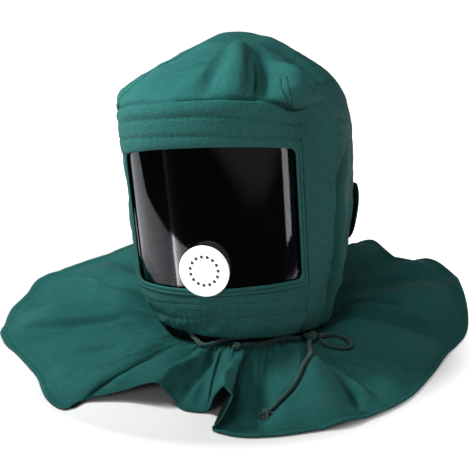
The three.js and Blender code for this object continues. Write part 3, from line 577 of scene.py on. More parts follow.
# Creases on the head part, in the same way
HOOD_CREASES = (
    (3, -2.6, ((44, 0.95), (36, 0.92), (32.5, 0.9), (31, 0.84), (31.5, 0.775))),
    (6, -1.0, ((-2, 0.95), (2, 0.886), (8, 0.84), (12, 0.79))),
    (3.5, 2.4, ((-58.5, 0.886), (-30, 0.885), (-9, 0.906), (0, 0.91))),
    (3.2, -2.2, ((-58, 0.905), (-30, 0.905), (-9, 0.92))),
    (3.5, 2.2, ((-56.5, 0.93), (-25, 0.93), (1, 0.94))),
    (6, 2.3, ((43, 0.845), (47, 0.826), (55.5, 0.802), (61.5, 0.782), (69, 0.75), (73, 0.706), (79.5, 0.66))),
    (5, -2.4, ((44.5, 0.87), (49, 0.846), (58, 0.835), (68, 0.82), (78, 0.79))),
    (4, -2.0, ((37, 0.785), (42.5, 0.772), (48.5, 0.757), (55, 0.753))),
    (3, -1.8, ((53.5, 0.775), (56, 0.797))),
    (3, -1.6, ((72, 0.7), (84, 0.69), (98, 0.672))),
    (6, -8.0, ((86, 0.62), (84.5, 0.56), (81.5, 0.482), (80.5, 0.35), (79, 0.214), (77.5, 0.08),
               (76, -0.01))),
    (5, 3.0, ((82, 0.6), (81, 0.56), (77.5, 0.482), (76.5, 0.35), (74.5, 0.214), (72.5, 0.08))),
    (7, -2.2, ((72, 0.12), (66, 0.05), (62, -0.02))),
    (4, 1.6, ((-60, 0.25), (-66, 0.14), (-70, 0.03))),
    (4, -1.8, ((-66, 0.3), (-73, 0.16), (-78, 0.02))),
    (3.5, -1.6, ((-41, -0.02), (-44, 0.03), (-46, 0.07))),
)


def drawn(table, surface, step):
    """A table of creases with each one's places made into a route on a surface."""
    return [(width, rise, smooth_route(surface(*np.array(places).T), step)) for width, rise, places in table]


CREASE_LINES = drawn(HOOD_CREASES, hood, 4)
ROLL_LINES = drawn(HOOD_ROLLS, hood, 4)
ROLL_POWER = 5

# Lines by angle and height share: the brow band's upper edge and stitches, and the chin band's stitches
BAND_TOP = np.array([(-75, 0.757), (-71.5, 0.762), (-43, 0.779), (-6, 0.782), (17, 0.783), (38, 0.773),
                     (43, 0.762), (48.5, 0.748), (55, 0.744), (62, 0.748), (67.5, 0.753)])
BROW_HIGH = np.array([(-75, 0.722), (-37, 0.728), (8, 0.73), (25.5, 0.719), (38.5, 0.706), (64, 0.69)])
BROW_LOW = np.array([(-75, 0.672), (-41.5, 0.668), (-19, 0.662), (3, 0.66), (20.5, 0.655), (34, 0.65),
                     (64, 0.648)])
CHIN_HIGH = np.array([(-56, 0.078), (-37.5, 0.085), (-10.5, 0.1), (17.5, 0.101), (37, 0.093), (56, 0.09)])
CHIN_LOW = np.array([(-56, 0.0), (-35, 0.018), (-4, 0.046), (20.5, 0.052), (33.5, 0.05), (56, 0.056)])

# The top of the crown is a shallow cap: its size, and how far under the point it lies
TOP_AT = hood(0.0, 1.0)
TOP_SIZE = 44.0
TOP_DROP = 2.6


def rounded_top(points, heights):
    """Takes the point off the top of the crown."""
    off = np.linalg.norm((points - TOP_AT)[..., :2], axis=-1) / TOP_SIZE
    cap = TOP_AT[2] - TOP_DROP - 5 * off**2
    made = np.array(points)
    made[..., 2] += (cap - made[..., 2]) * (1 - smooth(off, 0.45, 1.0)) * smooth(heights, 0.7, 0.9)
    return made


def outward(angle, height):
    """The direction out of the head part's surface."""
    push = np.cross(hood(angle + 0.6, height) - hood(angle - 0.6, height),
                    hood(angle, height + 0.003) - hood(angle, height - 0.003))
    return push / np.maximum(np.linalg.norm(push, axis=-1, keepdims=True), 1e-9)


def skin(angle, height, out=0.0):
    """Points of the sewn head part: the outer surface with its creases and unevenness."""
    angle, height = np.broadcast_arrays(np.asarray(angle, float), np.asarray(height, float))
    here = hood(angle, height)
    off = np.zeros(height.shape)
    for width, rise, line in CREASE_LINES:
        off += rise * stroke(here, line, width)
    for width, rise, line in ROLL_LINES:
        off += rise * stroke(here, line, width, ROLL_POWER)
    calm = 1 - 0.75 * (1 - smooth(np.abs(around(angle)), 50, 70)) * (1 - smooth(height, 0.66, 0.8))
    low_down = 1 - smooth(height, 0.05, 0.35)
    off += calm * ((1.3 + low_down) * ripples(here, 11, (70, 42))
                   + (0.5 + 0.6 * low_down) * ripples(here, 12, (24, 15)))
    off *= 1 - smooth(height, 0.975, 1)
    return rounded_top(here + outward(angle, np.minimum(height, 0.985)) * (off + out)[..., None], height)


def on_skin(places, out, step=1.5):
    """A route on the head part through (angle, height share) places."""
    return on_surface(skin, places, (1, 100), 0.8, out, step)


def line_at(angle, line):
    """The height share of a line at an angle."""
    return np.interp(angle, line[:, 0], line[:, 1])


def beside(line, first, last, count, out, lift=0.0):
    """A route on the head part that follows a line from one angle to another."""
    at = np.linspace(first, last, count)
    return on_skin(np.column_stack([at, line_at(at, line) + lift]), out)


# Materials

class Shade:
    """A shader value. Sums and products of these make maths nodes."""

    def __init__(self, tree, socket):
        self.tree, self.socket = tree, socket

    def _maths(self, kind, *values):
        node = self.tree.nodes.new("ShaderNodeMath")
        node.operation = kind
        for place, value in enumerate(values):
            feed(self.tree, node.inputs[place], value)
        return Shade(self.tree, node.outputs[0])

    def __add__(self, other):
        return self._maths("ADD", self, other)

    def __sub__(self, other):
        return self._maths("SUBTRACT", self, other)

    def __rsub__(self, other):
        return self._maths("SUBTRACT", other, self)

    def __mul__(self, other):
        return self._maths("MULTIPLY", self, other)

    __radd__ = __add__
    __rmul__ = __mul__

    def maths(self, kind, *others):
        return self._maths(kind, self, *others)


def feed(tree, socket, value):
    if isinstance(value, Shade):
        tree.links.new(value.socket, socket)
    else:
        socket.default_value = value


class Look:
    """One material's node tree."""

    def __init__(self, name):
        self.material = bpy.data.materials.new(name)
        self.material.use_nodes = True
        self.tree = self.material.node_tree
        self.tree.nodes.clear()
        self.surface = self.node("ShaderNodeBsdfPrincipled", out="node")
        self.output = self.node("ShaderNodeOutputMaterial", out="node").inputs["Surface"]
        self.tree.links.new(self.surface.outputs[0], self.output)

    def node(self, kind, settings=None, out=0, **values):
        """A node with its inputs fed by name, or as i0, i1 and so on by number."""
        made = self.tree.nodes.new(kind)
        for key, value in (settings or {}).items():
            setattr(made, key, value)
        for key, value in values.items():
            numbered = key[0] == "i" and key[1:].isdigit()
            feed(self.tree, made.inputs[int(key[1:]) if numbered else key.replace("_", " ")], value)
        return made if out == "node" else Shade(self.tree, made.outputs[out])

    def set(self, **values):
        for key, value in values.items():
            feed(self.tree, self.surface.inputs[key.replace("_", " ")], value)

    def texture_place(self, kind="UV"):
        return self.node("ShaderNodeTexCoord", out=kind)

    def noise(self, place, scale, detail=3, roughness=0.55):
        return self.node("ShaderNodeTexNoise", Vector=place, Scale=scale, Detail=detail, Roughness=roughness)

    def stretched(self, place, x, y, z=1.0):
        return self.node("ShaderNodeVectorMath", {"operation": "MULTIPLY"}, i0=place, i1=(x, y, z))

    def span(self, value, low, high, to_low=0.0, to_high=1.0):
        return self.node("ShaderNodeMapRange", i0=value, i1=low, i2=high, i3=to_low, i4=to_high)

    def mix(self, share, first, second):
        node = self.node("ShaderNodeMix", {"data_type": "RGBA"}, out="node")
        feed(self.tree, node.inputs[0], share)
        feed(self.tree, node.inputs[6], first)
        feed(self.tree, node.inputs[7], second)
        return Shade(self.tree, node.outputs[2])

    def parts(self, place):
        """The first two coordinates of a place."""
        split = self.node("ShaderNodeSeparateXYZ", out="node", Vector=place)
        return [Shade(self.tree, split.outputs[k]) for k in (0, 1)]

    def tinted(self, colour, light):
        """A colour with its brightness scaled."""
        return self.node("ShaderNodeVectorMath", {"operation": "SCALE"}, i0=colour[:3], Scale=light)

    def bump(self, height, strength, distance):
        self.set(Normal=self.node("ShaderNodeBump", Height=height, Strength=strength, Distance=distance))


def linear(red, green, blue):
    """A colour of 0 to 255 as the picture shows it, in the shader's own numbers."""
    shares = [c / 255 / 12.92 if c <= 10 else ((c / 255 + 0.055) / 1.055) ** 2.4 for c in (red, green, blue)]
    return (*shares, 1)


# Pitches of the weave and of the braid, and noise scales per metre for the canvas
WEAVE = 1.45 * MM
BRAID = 2.1 * MM
SLUB_ALONG, SLUB_ACROSS = 170, 900
FLECKS = 650
CLOUDS = 16
FADING = 7


def canvas(name, colour, grain=1.4):
    """Woven canvas: threads both ways, uneven dye and faded patches."""
    look = Look(name)
    flat = look.texture_place()
    solid = look.texture_place("Object")
    a, b = ((part * (math.pi / WEAVE)).maths("SINE") for part in look.parts(flat))
    over = look.span(a * b, -0.15, 0.15)
    threads = over * a.maths("ABSOLUTE") + (1 - over) * b.maths("ABSOLUTE")
    slub = (look.noise(look.stretched(flat, SLUB_ACROSS, SLUB_ALONG), 1, 2)
            + look.noise(look.stretched(flat, SLUB_ALONG, SLUB_ACROSS), 1, 2))
    fleck = look.noise(flat, FLECKS, 2)
    cloud = look.noise(solid, CLOUDS, 4)
    # The threads also make the colour lighter on their crowns and darker between them: painted highlight and
    # shade in the weave
    light = (0.97 + grain * (0.7 * (slub - 1) + 0.9 * (fleck - 0.5)) + 0.3 * (cloud - 0.5)
             + 0.55 * grain * (threads - 0.62))
    pale = (*(min(1, c * 1.7 + 0.012) for c in colour[:3]), 1)
    patches = look.span(look.noise(solid, FADING, 3), 0.4, 0.7, 0, 0.16)
    look.set(Base_Color=look.mix(patches, look.tinted(colour, light), pale), Roughness=0.75,
             Specular_IOR_Level=0.2)
    look.bump(threads * 0.7 + slub * 0.6 + fleck * 0.5, 0.75, 0.6 * MM)
    return look.material


def plain(name, colour, roughness, bump=0.0, size=400, **more):
    """One colour with slight clouds, and an uneven shine."""
    look = Look(name)
    solid = look.texture_place("Object")
    grain = look.noise(solid, size, 3)
    cloud = look.noise(solid, 30, 2)
    look.set(Base_Color=look.tinted(colour, 0.93 + 0.14 * cloud),
             Roughness=look.span(grain, 0.3, 0.7, roughness * 0.88, min(1, roughness * 1.12)), **more)
    if bump:
        look.bump(grain, bump, 0.3 * MM)
    return look.material


def braid(name, colour):
    """Braided cord: crossing strands both ways round it."""
    look = Look(name)
    u, v = look.parts(look.texture_place())
    one, other = ((way * (math.pi / BRAID)).maths("SINE").maths("ABSOLUTE") for way in (u + v, u - v))
    strands = one.maths("MINIMUM", other)
    fluff = look.noise(look.texture_place("Object"), 900, 2)
    # The strands make the colour lighter on their crowns and darker in the grooves between them: painted
    # highlight and shade
    look.set(Base_Color=look.tinted(colour, 0.45 + 0.7 * strands + 0.5 * (fluff - 0.5)), Roughness=0.88,
             Sheen_Weight=0.3, Specular_IOR_Level=0.25)
    look.bump(strands + 0.4 * fluff, 0.8, 0.5 * MM)
    return look.material


def clear_pane(name):
    """Clear plastic: you look through it, and it mirrors more at a slant."""
    look = Look(name)
    look.tree.nodes.remove(look.surface)
    solid = look.texture_place("Object")
    marks = look.noise(look.stretched(solid, 60, 60, 14), 1, 4)
    dent = look.node("ShaderNodeBump", Height=look.noise(solid, 9, 3), Strength=0.05, Distance=1 * MM)
    gloss = look.node("ShaderNodeBsdfGlossy", Color=(0.8, 0.8, 0.85, 1),
                      Roughness=look.span(marks, 0.35, 0.75, 0.02, 0.07), Normal=dent)
    clear = look.node("ShaderNodeBsdfTransparent", Color=(0.86, 0.86, 0.87, 1))
    slant = look.node("ShaderNodeFresnel", IOR=1.5)
    mirrored = (slant * (0.5 + 2.6 * slant)).maths("MINIMUM", 1.0)
    feed(look.tree, look.output, look.node("ShaderNodeMixShader", i0=mirrored, i1=clear, i2=gloss))
    return look.material


GREEN = linear(31, 79, 76)
canvas_look = canvas("canvas", GREEN)
cape_look = canvas("canvas_cape", GREEN)
# The inner side of the cloth is painted nearly black: painted shade inside the hood and under the cape
lining_shade_look = canvas("canvas_lining_painted_shade", linear(6, 18, 16))
binding_look = canvas("canvas_binding", linear(35, 86, 82), grain=0.8)
# The neck casing is painted nearly black: painted shade under the chin
neck_shade_look = canvas("canvas_neck_painted_shade", linear(5, 22, 21))
flap_look = canvas("canvas_flap", linear(26, 86, 78))
# Dark lines along seams and along the band's and tape's edges are painted shadow
seam_shadow_look = plain("seam_shadow", linear(10, 44, 40), 0.9)
thread_pale = plain("thread_pale", linear(60, 120, 112), 0.8)
thread_dark = plain("thread_dark", linear(14, 58, 54), 0.85)
cord_look = braid("braided_cord", linear(22, 64, 57))
pane_look = clear_pane("clear_plastic")
# The white plastic also glows a little: a painted glow, it is no lamp
white_glow_look = plain("white_plastic_painted_glow", linear(252, 252, 251), 0.38, 0.05, 300, Specular_IOR_Level=0.5,
                   Emission_Color=(1, 1, 1, 1), Emission_Strength=0.28)
rubber_look = plain("valve_plastic", linear(70, 74, 74), 0.5, 0.1, 700)



def steps(count):
    return round(count * (1))


# Crown, back and sides, tucked in over the brow band
TUCK_DEPTH = 2.6
side_steps = steps(130) // 2 + 1
ring_angles = np.concatenate([np.linspace(-180, -NOTCH_ANGLE, side_steps)[:-1],
                              np.linspace(-NOTCH_ANGLE, NOTCH_ANGLE, steps(90) + 1)[:-1],
                              np.linspace(NOTCH_ANGLE, 180, side_steps)])
ring_heights = np.concatenate([np.linspace(LOWER_EDGE, NOTCH_HEAD, steps(60))[:-1],
                               np.linspace(NOTCH_HEAD, 1, steps(76))])
angles, heights = np.meshgrid(ring_angles, ring_heights)
tuck = -TUCK_DEPTH * bell(heights - line_at(angles, BAND_TOP) - 0.006, 0.009)
tuck *= 1 - smooth(np.abs(angles), 62, 74)
shell = skin(angles, heights, tuck)
shell[-1] = shell[-1].mean(axis=0)
middle_angles = (angles[:-1, :-1] + angles[1:, 1:]) / 2
middle_heights = (heights[:-1, :-1] + heights[1:, 1:]) / 2
keep = ~((np.abs(middle_angles) < NOTCH_ANGLE) & (middle_heights < NOTCH_HEAD))
cloth("hood_cloth", closed_rows(shell), canvas_look, "canvas", ("hood_shell",), HOOD_THICK, keep,
      lining=lining_shade_look)

# The stiff band over the window puffs between its stitch lines, and its ends come down to the cloth beside it
BAND_OUT = 3.4
BAND_DROP = 3.3
BAND_PULL = 1.1
BAND_SWELL = 0.7
BAND_ENDS = (-NOTCH_ANGLE - 12, NOTCH_ANGLE + 4)
BAND_LOW = (WINDOW_HEAD + 0.5) / HOOD_HEIGHT
share = np.linspace(0, 1, steps(46) + 2)[:, None]
angles = np.broadcast_to(np.linspace(*BAND_ENDS, steps(170)), (len(share), steps(170)))
top_line, high_line, low_line = (line_at(angles, line) for line in (BAND_TOP, BROW_HIGH, BROW_LOW))
heights = BAND_LOW + (top_line - BAND_LOW) * share
puff = (-BAND_PULL * bell(heights - high_line, 0.009) - BAND_PULL * bell(heights - low_line, 0.009)
        + BAND_SWELL * bell(heights - (top_line + high_line) / 2, 0.014)
        - (1.2 * bell(share, 0.05) + 1.6 * bell(1 - share, 0.03)))
base = hood(angles, heights)
pucker = 0.35 * np.sin(base @ np.array([0.9, 0.55, 0.1]) + 2 * ripples(base, 21, (30,)))
pucker *= bell(heights - high_line, 0.02) + bell(heights - low_line, 0.02)
side_fall = np.where(angles < 0, smooth(-angles, NOTCH_ANGLE, -BAND_ENDS[0]),
                     smooth(angles, NOTCH_ANGLE - 9, BAND_ENDS[1]))
cloth("brow_band_cloth", skin(angles, heights, BAND_OUT - BAND_DROP * side_fall + puff + pucker),
      canvas_look, "canvas", ("brow_band",), HOOD_THICK)
# A dark tube along the band's upper edge: a painted shadow line where the crown tucks behind the band
tubes("brow_tuck_shadow_line", [beside(BAND_TOP, -8, 44, 12, BAND_OUT - 2.2, 0.002)], 0.8, 6, seam_shadow_look, "binding")
stitches("brow_stitches", [beside(line, -67, 59, 22, BAND_OUT - 1.1) for line in (BROW_HIGH, BROW_LOW)],
         thread_dark, 2.2, 2.2, 0.42)

# The cloth under the window
CHIN_SIDE = NOTCH_ANGLE - 0.1
CHIN_TOP = (WINDOW_SILL - BINDING_WIDTH + 1) / HOOD_HEIGHT
share = np.linspace(0, 1, steps(36) + 2)
angles, heights = np.meshgrid(np.linspace(-CHIN_SIDE, CHIN_SIDE, steps(140)),
                              LOWER_EDGE + (CHIN_TOP - LOWER_EDGE) * share)
high_line, low_line = line_at(angles, CHIN_HIGH), line_at(angles, CHIN_LOW)
puff = (-0.9 * bell(heights - high_line, 0.008) - 0.8 * bell(heights - low_line, 0.007)
        + 1.3 * bell(heights - low_line + 0.028, 0.02) * smooth(angles, -5, 25)
        - 2.0 * bell(heights - LOWER_EDGE, 0.01))
base = hood(angles, heights)
pucker = (0.4 * np.sin(base @ np.array([0.8, 0.5, 0.1]) + 2 * ripples(base, 31, (26,)))
          + 1.8 * ripples(base, 32, (34, 22))) * (1 - smooth(heights, 0.02, 0.12))
cloth("chin_band_cloth", skin(angles, heights, puff + pucker),
      canvas_look, "canvas", ("chin_band",), HOOD_THICK)
for name, line in (("chin_stitches_high", CHIN_HIGH), ("chin_stitches_low", CHIN_LOW)):
    stitches(name, [beside(line, -52, 54, 20, -0.55)], thread_pale, 2.4, 1.9, 0.42)

# The tape round the window: two rolls side by side
SIDE_COUNTS = (44, 7, 22, 7, 44, 7, 22, 7)
TAPE_EDGE = BINDING_WIDTH + 0.3
TAPE_MIDDLE = BINDING_WIDTH * 0.5


def window_loop(grow, corner):
    """Places round the window in millimetres across and up; grow is how far outside its edge."""
    half = math.radians(WINDOW_HALF_ANGLE) * FACE_RADIUS + grow
    low, high = WINDOW_SILL - grow, WINDOW_HEAD + grow
    middles = ((half - corner, low + corner), (half - corner, high - corner),
               (-half + corner, high - corner), (-half + corner, low + corner))
    starts = ((-half + corner, low), (half, low + corner), (half - corner, high), (-half, high - corner))
    ends = ((half - corner, low), (half, high - corner), (-half + corner, high), (-half, low + corner))
    points = []
    for k in range(4):
        for t in np.arange(SIDE_COUNTS[2 * k]) / SIDE_COUNTS[2 * k]:
            points.append([a + (b - a) * t for a, b in zip(starts[k], ends[k])])
        for t in np.arange(SIDE_COUNTS[2 * k + 1]) / SIDE_COUNTS[2 * k + 1]:
            bow = math.radians(-90 + 90 * k + 90 * t)
            points.append([middles[k][0] + corner * math.cos(bow), middles[k][1] + corner * math.sin(bow)])
    return np.array(points + points[:1])


def in_front(loop, out):
    """Points in front of the face's curve at places round the window."""
    return face_point(np.degrees(loop[:, 0] / FACE_RADIUS), loop[:, 1], out)


rows = []
for grow in np.linspace(TAPE_EDGE, -0.2, 18):
    place = np.clip(grow / BINDING_WIDTH, 0, 1)
    loop = window_loop(grow, WINDOW_CORNER + (1.5 - WINDOW_CORNER) * place)
    roll = abs(math.sin(2 * math.pi * place)) ** 0.55
    wobble = 0.35 * ripples(np.column_stack([loop, loop[:, 0] * 0]), 41, (34, 20))
    rows.append(in_front(loop, 0.2 + (0.8 + 0.7 * place) * roll + wobble * place))
cloth("binding_tape", closed_rows(rows), binding_look, "binding", ("window_binding",), TAPE_THICK)
edges = [in_front(window_loop(grow, corner), 0.5) for grow, corner in ((TAPE_EDGE, 1.5), (TAPE_MIDDLE, 4))]
tubes("binding_shadow_lines", edges, 0.55, 6, seam_shadow_look, "binding", closed=True)
stitches("binding_stitches", [smooth_route(in_front(window_loop(TAPE_MIDDLE, 4), 0.75), 1.5)],
         thread_dark, 2.2, 1.4, 0.32)

# The clear pane, a little behind the face's curve, with a hole for the valve
PANE_OUT = -2.4
VALVE_HOLE = 17
side = WINDOW_HALF_ANGLE + math.degrees(VISOR_LAP / FACE_RADIUS)
angles, heights = np.meshgrid(np.linspace(-side, side, 151),
                              np.linspace(WINDOW_SILL - VISOR_LAP, WINDOW_HEAD + VISOR_LAP, 81))
bow = 0.22 * ripples(np.stack([angles * 2, heights * 0.4, heights * 0], -1), 51, (110, 70))
pane_points = face_point(angles, heights, PANE_OUT + bow * smooth(side - np.abs(angles), 0, 14))
valve_middle = face_point(VALVE_ANGLE, WINDOW_SILL + VALVE_HEIGHT, PANE_OUT)
middles = (pane_points[:-1, :-1] + pane_points[1:, 1:]) / 2
keep = np.linalg.norm(middles - valve_middle, axis=-1) > VALVE_HOLE
cloth("visor_pane", pane_points, pane_look, "visor", ("visor",), PANE_THICK, keep)

# The valve: the turned pieces keep their shape and get a finish, and the white cover a painted glow as well
for node, look in (("valve_cover", white_glow_look), ("valve_body", rubber_look), ("valve_nut", rubber_look)):
    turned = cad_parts[node]
    turned.data.materials.clear()
    turned.data.materials.append(look)
    soften = turned.modifiers.new("soft_edges", "BEVEL")
    soften.width = 0.25 * MM
    soften.segments = 2
    soften.limit_method = "ANGLE"
    soften.angle_limit = math.radians(35)
    soften.harden_normals = True

# The gathered casing at the neck: how far inside the head part its top lies, and how deep its pleats are
CASING_LAP = 3.1
PLEAT_DEPTH = 0.75
ring_angles = np.linspace(-180, 180, steps(520))
pleat = np.radians(ring_angles)
gather = (np.sin(71 * pleat + 1.7 * np.sin(5 * pleat)) + 0.6 * np.sin(113 * pleat + 2 * np.sin(7 * pleat))
          + 0.5 * np.sin(37 * pleat + 1))
top_height = LOWER_EDGE + (NOTCH_HEAD - LOWER_EDGE) / 8
top = hood(ring_angles, top_height) - outward(ring_angles, top_height) * CASING_LAP
groove = under_edge(ring_angles, NECK_INSET + CORD_GROOVE, 1)
hem = neck_ring(ring_angles, 0)
upper = (top + groove) / 2
upper[:, :2] += 0.05 * (NECK_AT[:2] - upper[:, :2])
stops = np.array([hem, (hem + groove) / 2, groove, upper, top])
rows = []
for place in np.linspace(0, 4, steps(34)):
    row = through(stops.reshape(5, -1), np.full(1, place)).reshape(-1, 3)
    inward = NECK_AT[:2] - row[:, :2]
    inward /= np.linalg.norm(inward, axis=1)[:, None]
    depth = PLEAT_DEPTH * smooth(place, 0, 0.7) * (1 - smooth(place, 3.2, 4)) + 0.15
    row[:, :2] += inward * (depth * gather - (0.6 if 0.2 < place < 3.6 else 0))[:, None]
    rows.append(row)
# Its near-black colour is painted shade
cloth("neck_casing_cloth", closed_rows(rows), neck_shade_look, "dark_canvas", ("neck_casing",), NECK_THICK)

# Where the drawcord lies
KNOT_AT = np.array((110.2, -64.4, 29.2))
SHORT_KNOT_AT = np.array((43, -123.2, 36.2))
LONG_KNOT_AT = np.array((98.4, -193.2, 6.2))
NECK_CORD_FRONT = ((-9, -114, 33.2), (5.5, -125, 32), (15.5, -121.5, 33.8), (27, -112, 36.2),
                   (41, -104.5, 37.4), (58, -94.5, 36.6), (76, -82, 35.6), (89, -71.5, 35), (97.4, -65.2, 34))
BOW_LOOP = ((117.2, -58, 27.8), (120.6, -51.6, 25.6), (126.4, -46.4, 24.4), (134.5, -44.6, 24),
            (143.5, -46, 23.4), (151.2, -50, 22), (155, -56, 20.5), (151.6, -62.2, 19.6),
            (144.2, -65.8, 19.6), (135.8, -66.6, 20.7), (127, -66.2, 23), (120.4, -65.2, 26.4))
SHORT_END = ((100.4, -72, 28.8), (95, -76, 30.2), (87.5, -81, 32), (78, -89, 32.2), (71, -96.5, 31.3),
             (64, -103, 31), (57, -107.6, 31.8), (51.4, -111.4, 33.4), (46.6, -117.6, 34.6))
LONG_END = ((111.4, -73.4, 28.2), (112, -79.4, 27.4), (114, -86, 27.9), (117.8, -95.5, 29.2),
            (120.4, -106, 31.4), (120.9, -117, 32.3), (119.6, -128, 30.6), (118.6, -140, 26),
            (117.4, -150, 21.9), (114.4, -160, 17.2), (109.6, -169, 12.6), (105, -178, 9), (101.4, -187, 6.4))


# Creases in the cape: width and rise in millimetres, and places as column and share
CAPE_CREASES = (
    (5, -3.2, ((34.65, 0.95), (34.9, 0.695), (34.9, 0.39), (34.45, 0.145))),
    (3.5, -2.4, ((30.7, 0.965), (30.1, 0.78), (30.35, 0.58), (30.75, 0.425), (31.05, 0.295))),
    (4, 2.2, ((31.2, 0.97), (30.6, 0.78), (30.85, 0.58), (31.25, 0.425))),
    (9, 4.5, ((9.65, 0.1), (10.25, 0.4), (11.1, 0.605), (11.35, 0.93))),
    (6.5, -5, ((10.3, 0.2), (10.45, 0.35), (10.75, 0.495), (11.0, 0.665), (10.5, 0.935))),
    (5, 2.6, ((4.5, 0.08), (4.4, 0.135), (4.1, 0.5), (3.9, 0.75))),
    (5, -2.2, ((5.6, 0.1), (5.3, 0.4), (5.0, 0.8))),
    (5, -2.4, ((3.3, 0.1), (2.9, 0.4), (2.5, 0.8))),
    (5, 2.4, ((18.75, 0.15), (18.55, 0.355), (18.25, 0.62), (17.3, 0.95))),
    (5, 2.4, ((16.3, 0.065), (15.85, 0.415), (15.5, 0.74), (14.8, 0.98))),
    (6, -4, ((16.9, 0.1), (16.7, 0.2), (16.3, 0.43), (16.1, 0.6))),
    (5, 2.5, ((43.7, 0.12), (43.2, 0.5), (42.2, 0.98))),
    (5, -2.5, ((44.6, 0.12), (44.2, 0.5), (43.6, 0.95))),
    (5, 1.8, ((38.5, 0.1), (38.2, 0.4), (37.6, 0.8))),
    (4, -1.6, ((37.2, 0.12), (36.8, 0.4), (36.4, 0.7))),
    (5, 1.8, ((24.5, 0.1), (24.8, 0.5), (25, 0.9))),
    (5, 1.8, ((21.5, 0.1), (21.3, 0.5), (21, 0.9))),
)
cape_lines = drawn(CAPE_CREASES, cape_point, 5)
CAPE_CREASING = 2.3
LEVEL = np.array([1, 1, 0])
HEM_STITCH = 0.957
CORD_GAP = 0.5
lying_cords = [smooth_route(places, 4) for places in
               (BOW_LOOP, [*SHORT_END, SHORT_KNOT_AT + (0, 0, -2)], [*LONG_END, LONG_KNOT_AT + (0, 0, -1)],
                [KNOT_AT + (-6, 0, -4), KNOT_AT + (6, 2, -4)])]


def cape_skin(at, share, out=0.0):
    """Points of the cape's upper side: folded, gathered at the neck, and pressed down under the cords."""
    at, share = np.broadcast_arrays(np.asarray(at, float), np.asarray(share, float))
    point = cape_point(at, share)
    level = point * LEVEL
    off = np.zeros(at.shape)
    for width, rise, line in cape_lines:
        off += CAPE_CREASING * rise * stroke(level, line * LEVEL, width)
    turn = at * 2 * np.pi / len(CAPE)
    fade = 1 - smooth(share, 0.02, 0.42)
    gathers = (np.sin(67 * turn + 1.5 * np.sin(6 * turn)) + 0.7 * np.sin(103 * turn + 1.5 * np.sin(9 * turn))
               + 0.6 * np.sin(41 * turn + 2))
    off += 0.75 * gathers * fade * smooth(share, -0.01, 0.03)
    lifted = smooth(share, 0.06, 0.3) * (1 - smooth(share, 0.8, 0.97))
    off += lifted * (3.2 + 2.4 * np.sin(17 * turn + 2.2 * np.sin(3 * turn))
                     + 1.6 * np.sin(29 * turn + 2 * np.sin(5 * turn)))
    off += 1.6 * ripples(level, 61, (80, 50)) * smooth(share, 0.05, 0.3) + 0.35 * ripples(level, 62, (26, 16))
    hem = 0.8 * bell(share - 0.985, 0.013) - 0.7 * bell(share - HEM_STITCH, 0.008)
    raised = np.array(point)
    raised[..., 2] = np.maximum(point[..., 2] + off, 0) + CAPE_THICK + 0.4 + hem
    for route in lying_cords:
        beyond = np.linalg.norm(raised[..., None, :2] - route[:, :2], axis=-1) - CORD_DIAMETER / 2
        limit = (route[:, 2] + 0.9 * np.maximum(beyond, 0) - CORD_DIAMETER / 2 - CORD_GAP).min(axis=-1)
        raised[..., 2] = np.minimum(raised[..., 2], np.maximum(limit, CAPE_THICK + 0.2))
    raised[..., 2] += out
    return raised


share = np.concatenate([np.linspace(0, 0.93, steps(44))[:-1], np.linspace(0.93, 1, 9)])
cape_rows = closed_rows(cape_skin(*np.meshgrid(np.linspace(0, len(CAPE), steps(600)), share)))
cloth("cape_cloth", cape_rows, cape_look, "canvas", ("cape",), CAPE_THICK, flip=True, lining=lining_shade_look)


def on_cape(places, out):
    """A route on the cape through (column, share) places."""
    return on_surface(cape_skin, places, (20, 160), 1.5, out)


stitches("hem_stitches", [on_cape([(a, HEM_STITCH) for a in np.linspace(0, len(CAPE), 136)], 0.05)],
         thread_dark, 2.6, 2.0, 0.36)
stitches("cape_seam_stitches", [on_cape([(11.55, 0.325), (12.25, 0.575), (12.4, 0.84), (12.55, 0.945)], 0.1)],
         thread_dark, 2.4, 2.4, 0.45)

# The dark flap behind the wearer's left
FLAP_SEAM = 148.0
FLAP_REACH = 40.0
FLAP_FLARE = 8.5
FLAP_FOOT = 0.19
FLAP_HEIGHT = 74.0
FLAP_TOP = FLAP_FOOT + (FLAP_HEIGHT - 7) / HOOD_HEIGHT
FLAP_STEPS = 34
ends = np.linspace(0, 1, FLAP_STEPS)
rows = []
for height in np.linspace(FLAP_FOOT, FLAP_TOP, FLAP_STEPS):
    part = (height - FLAP_FOOT) / (FLAP_TOP - FLAP_FOOT)
    cut = 0.5 + 0.48 * math.sin(math.pi * min(1, part * 0.8 + 0.12))
    across = FLAP_SEAM - FLAP_REACH * cut * (1 - ends)
    off = 1.8 + FLAP_FLARE * (1 - ends) ** 1.5 * (0.15 + 0.7 * part**1.3 * (1 - 0.35 * part**6))
    out = np.stack([np.sin(np.radians(across)), -np.cos(np.radians(across)), 0 * across], -1) @ LEAN.T
    rows.append(hood(across, np.full(FLAP_STEPS, height)) + out * off[:, None])
cloth("vent_flap_cloth", np.array(rows), flap_look, "dark_canvas", ("vent_flap",), FLAP_THICK)

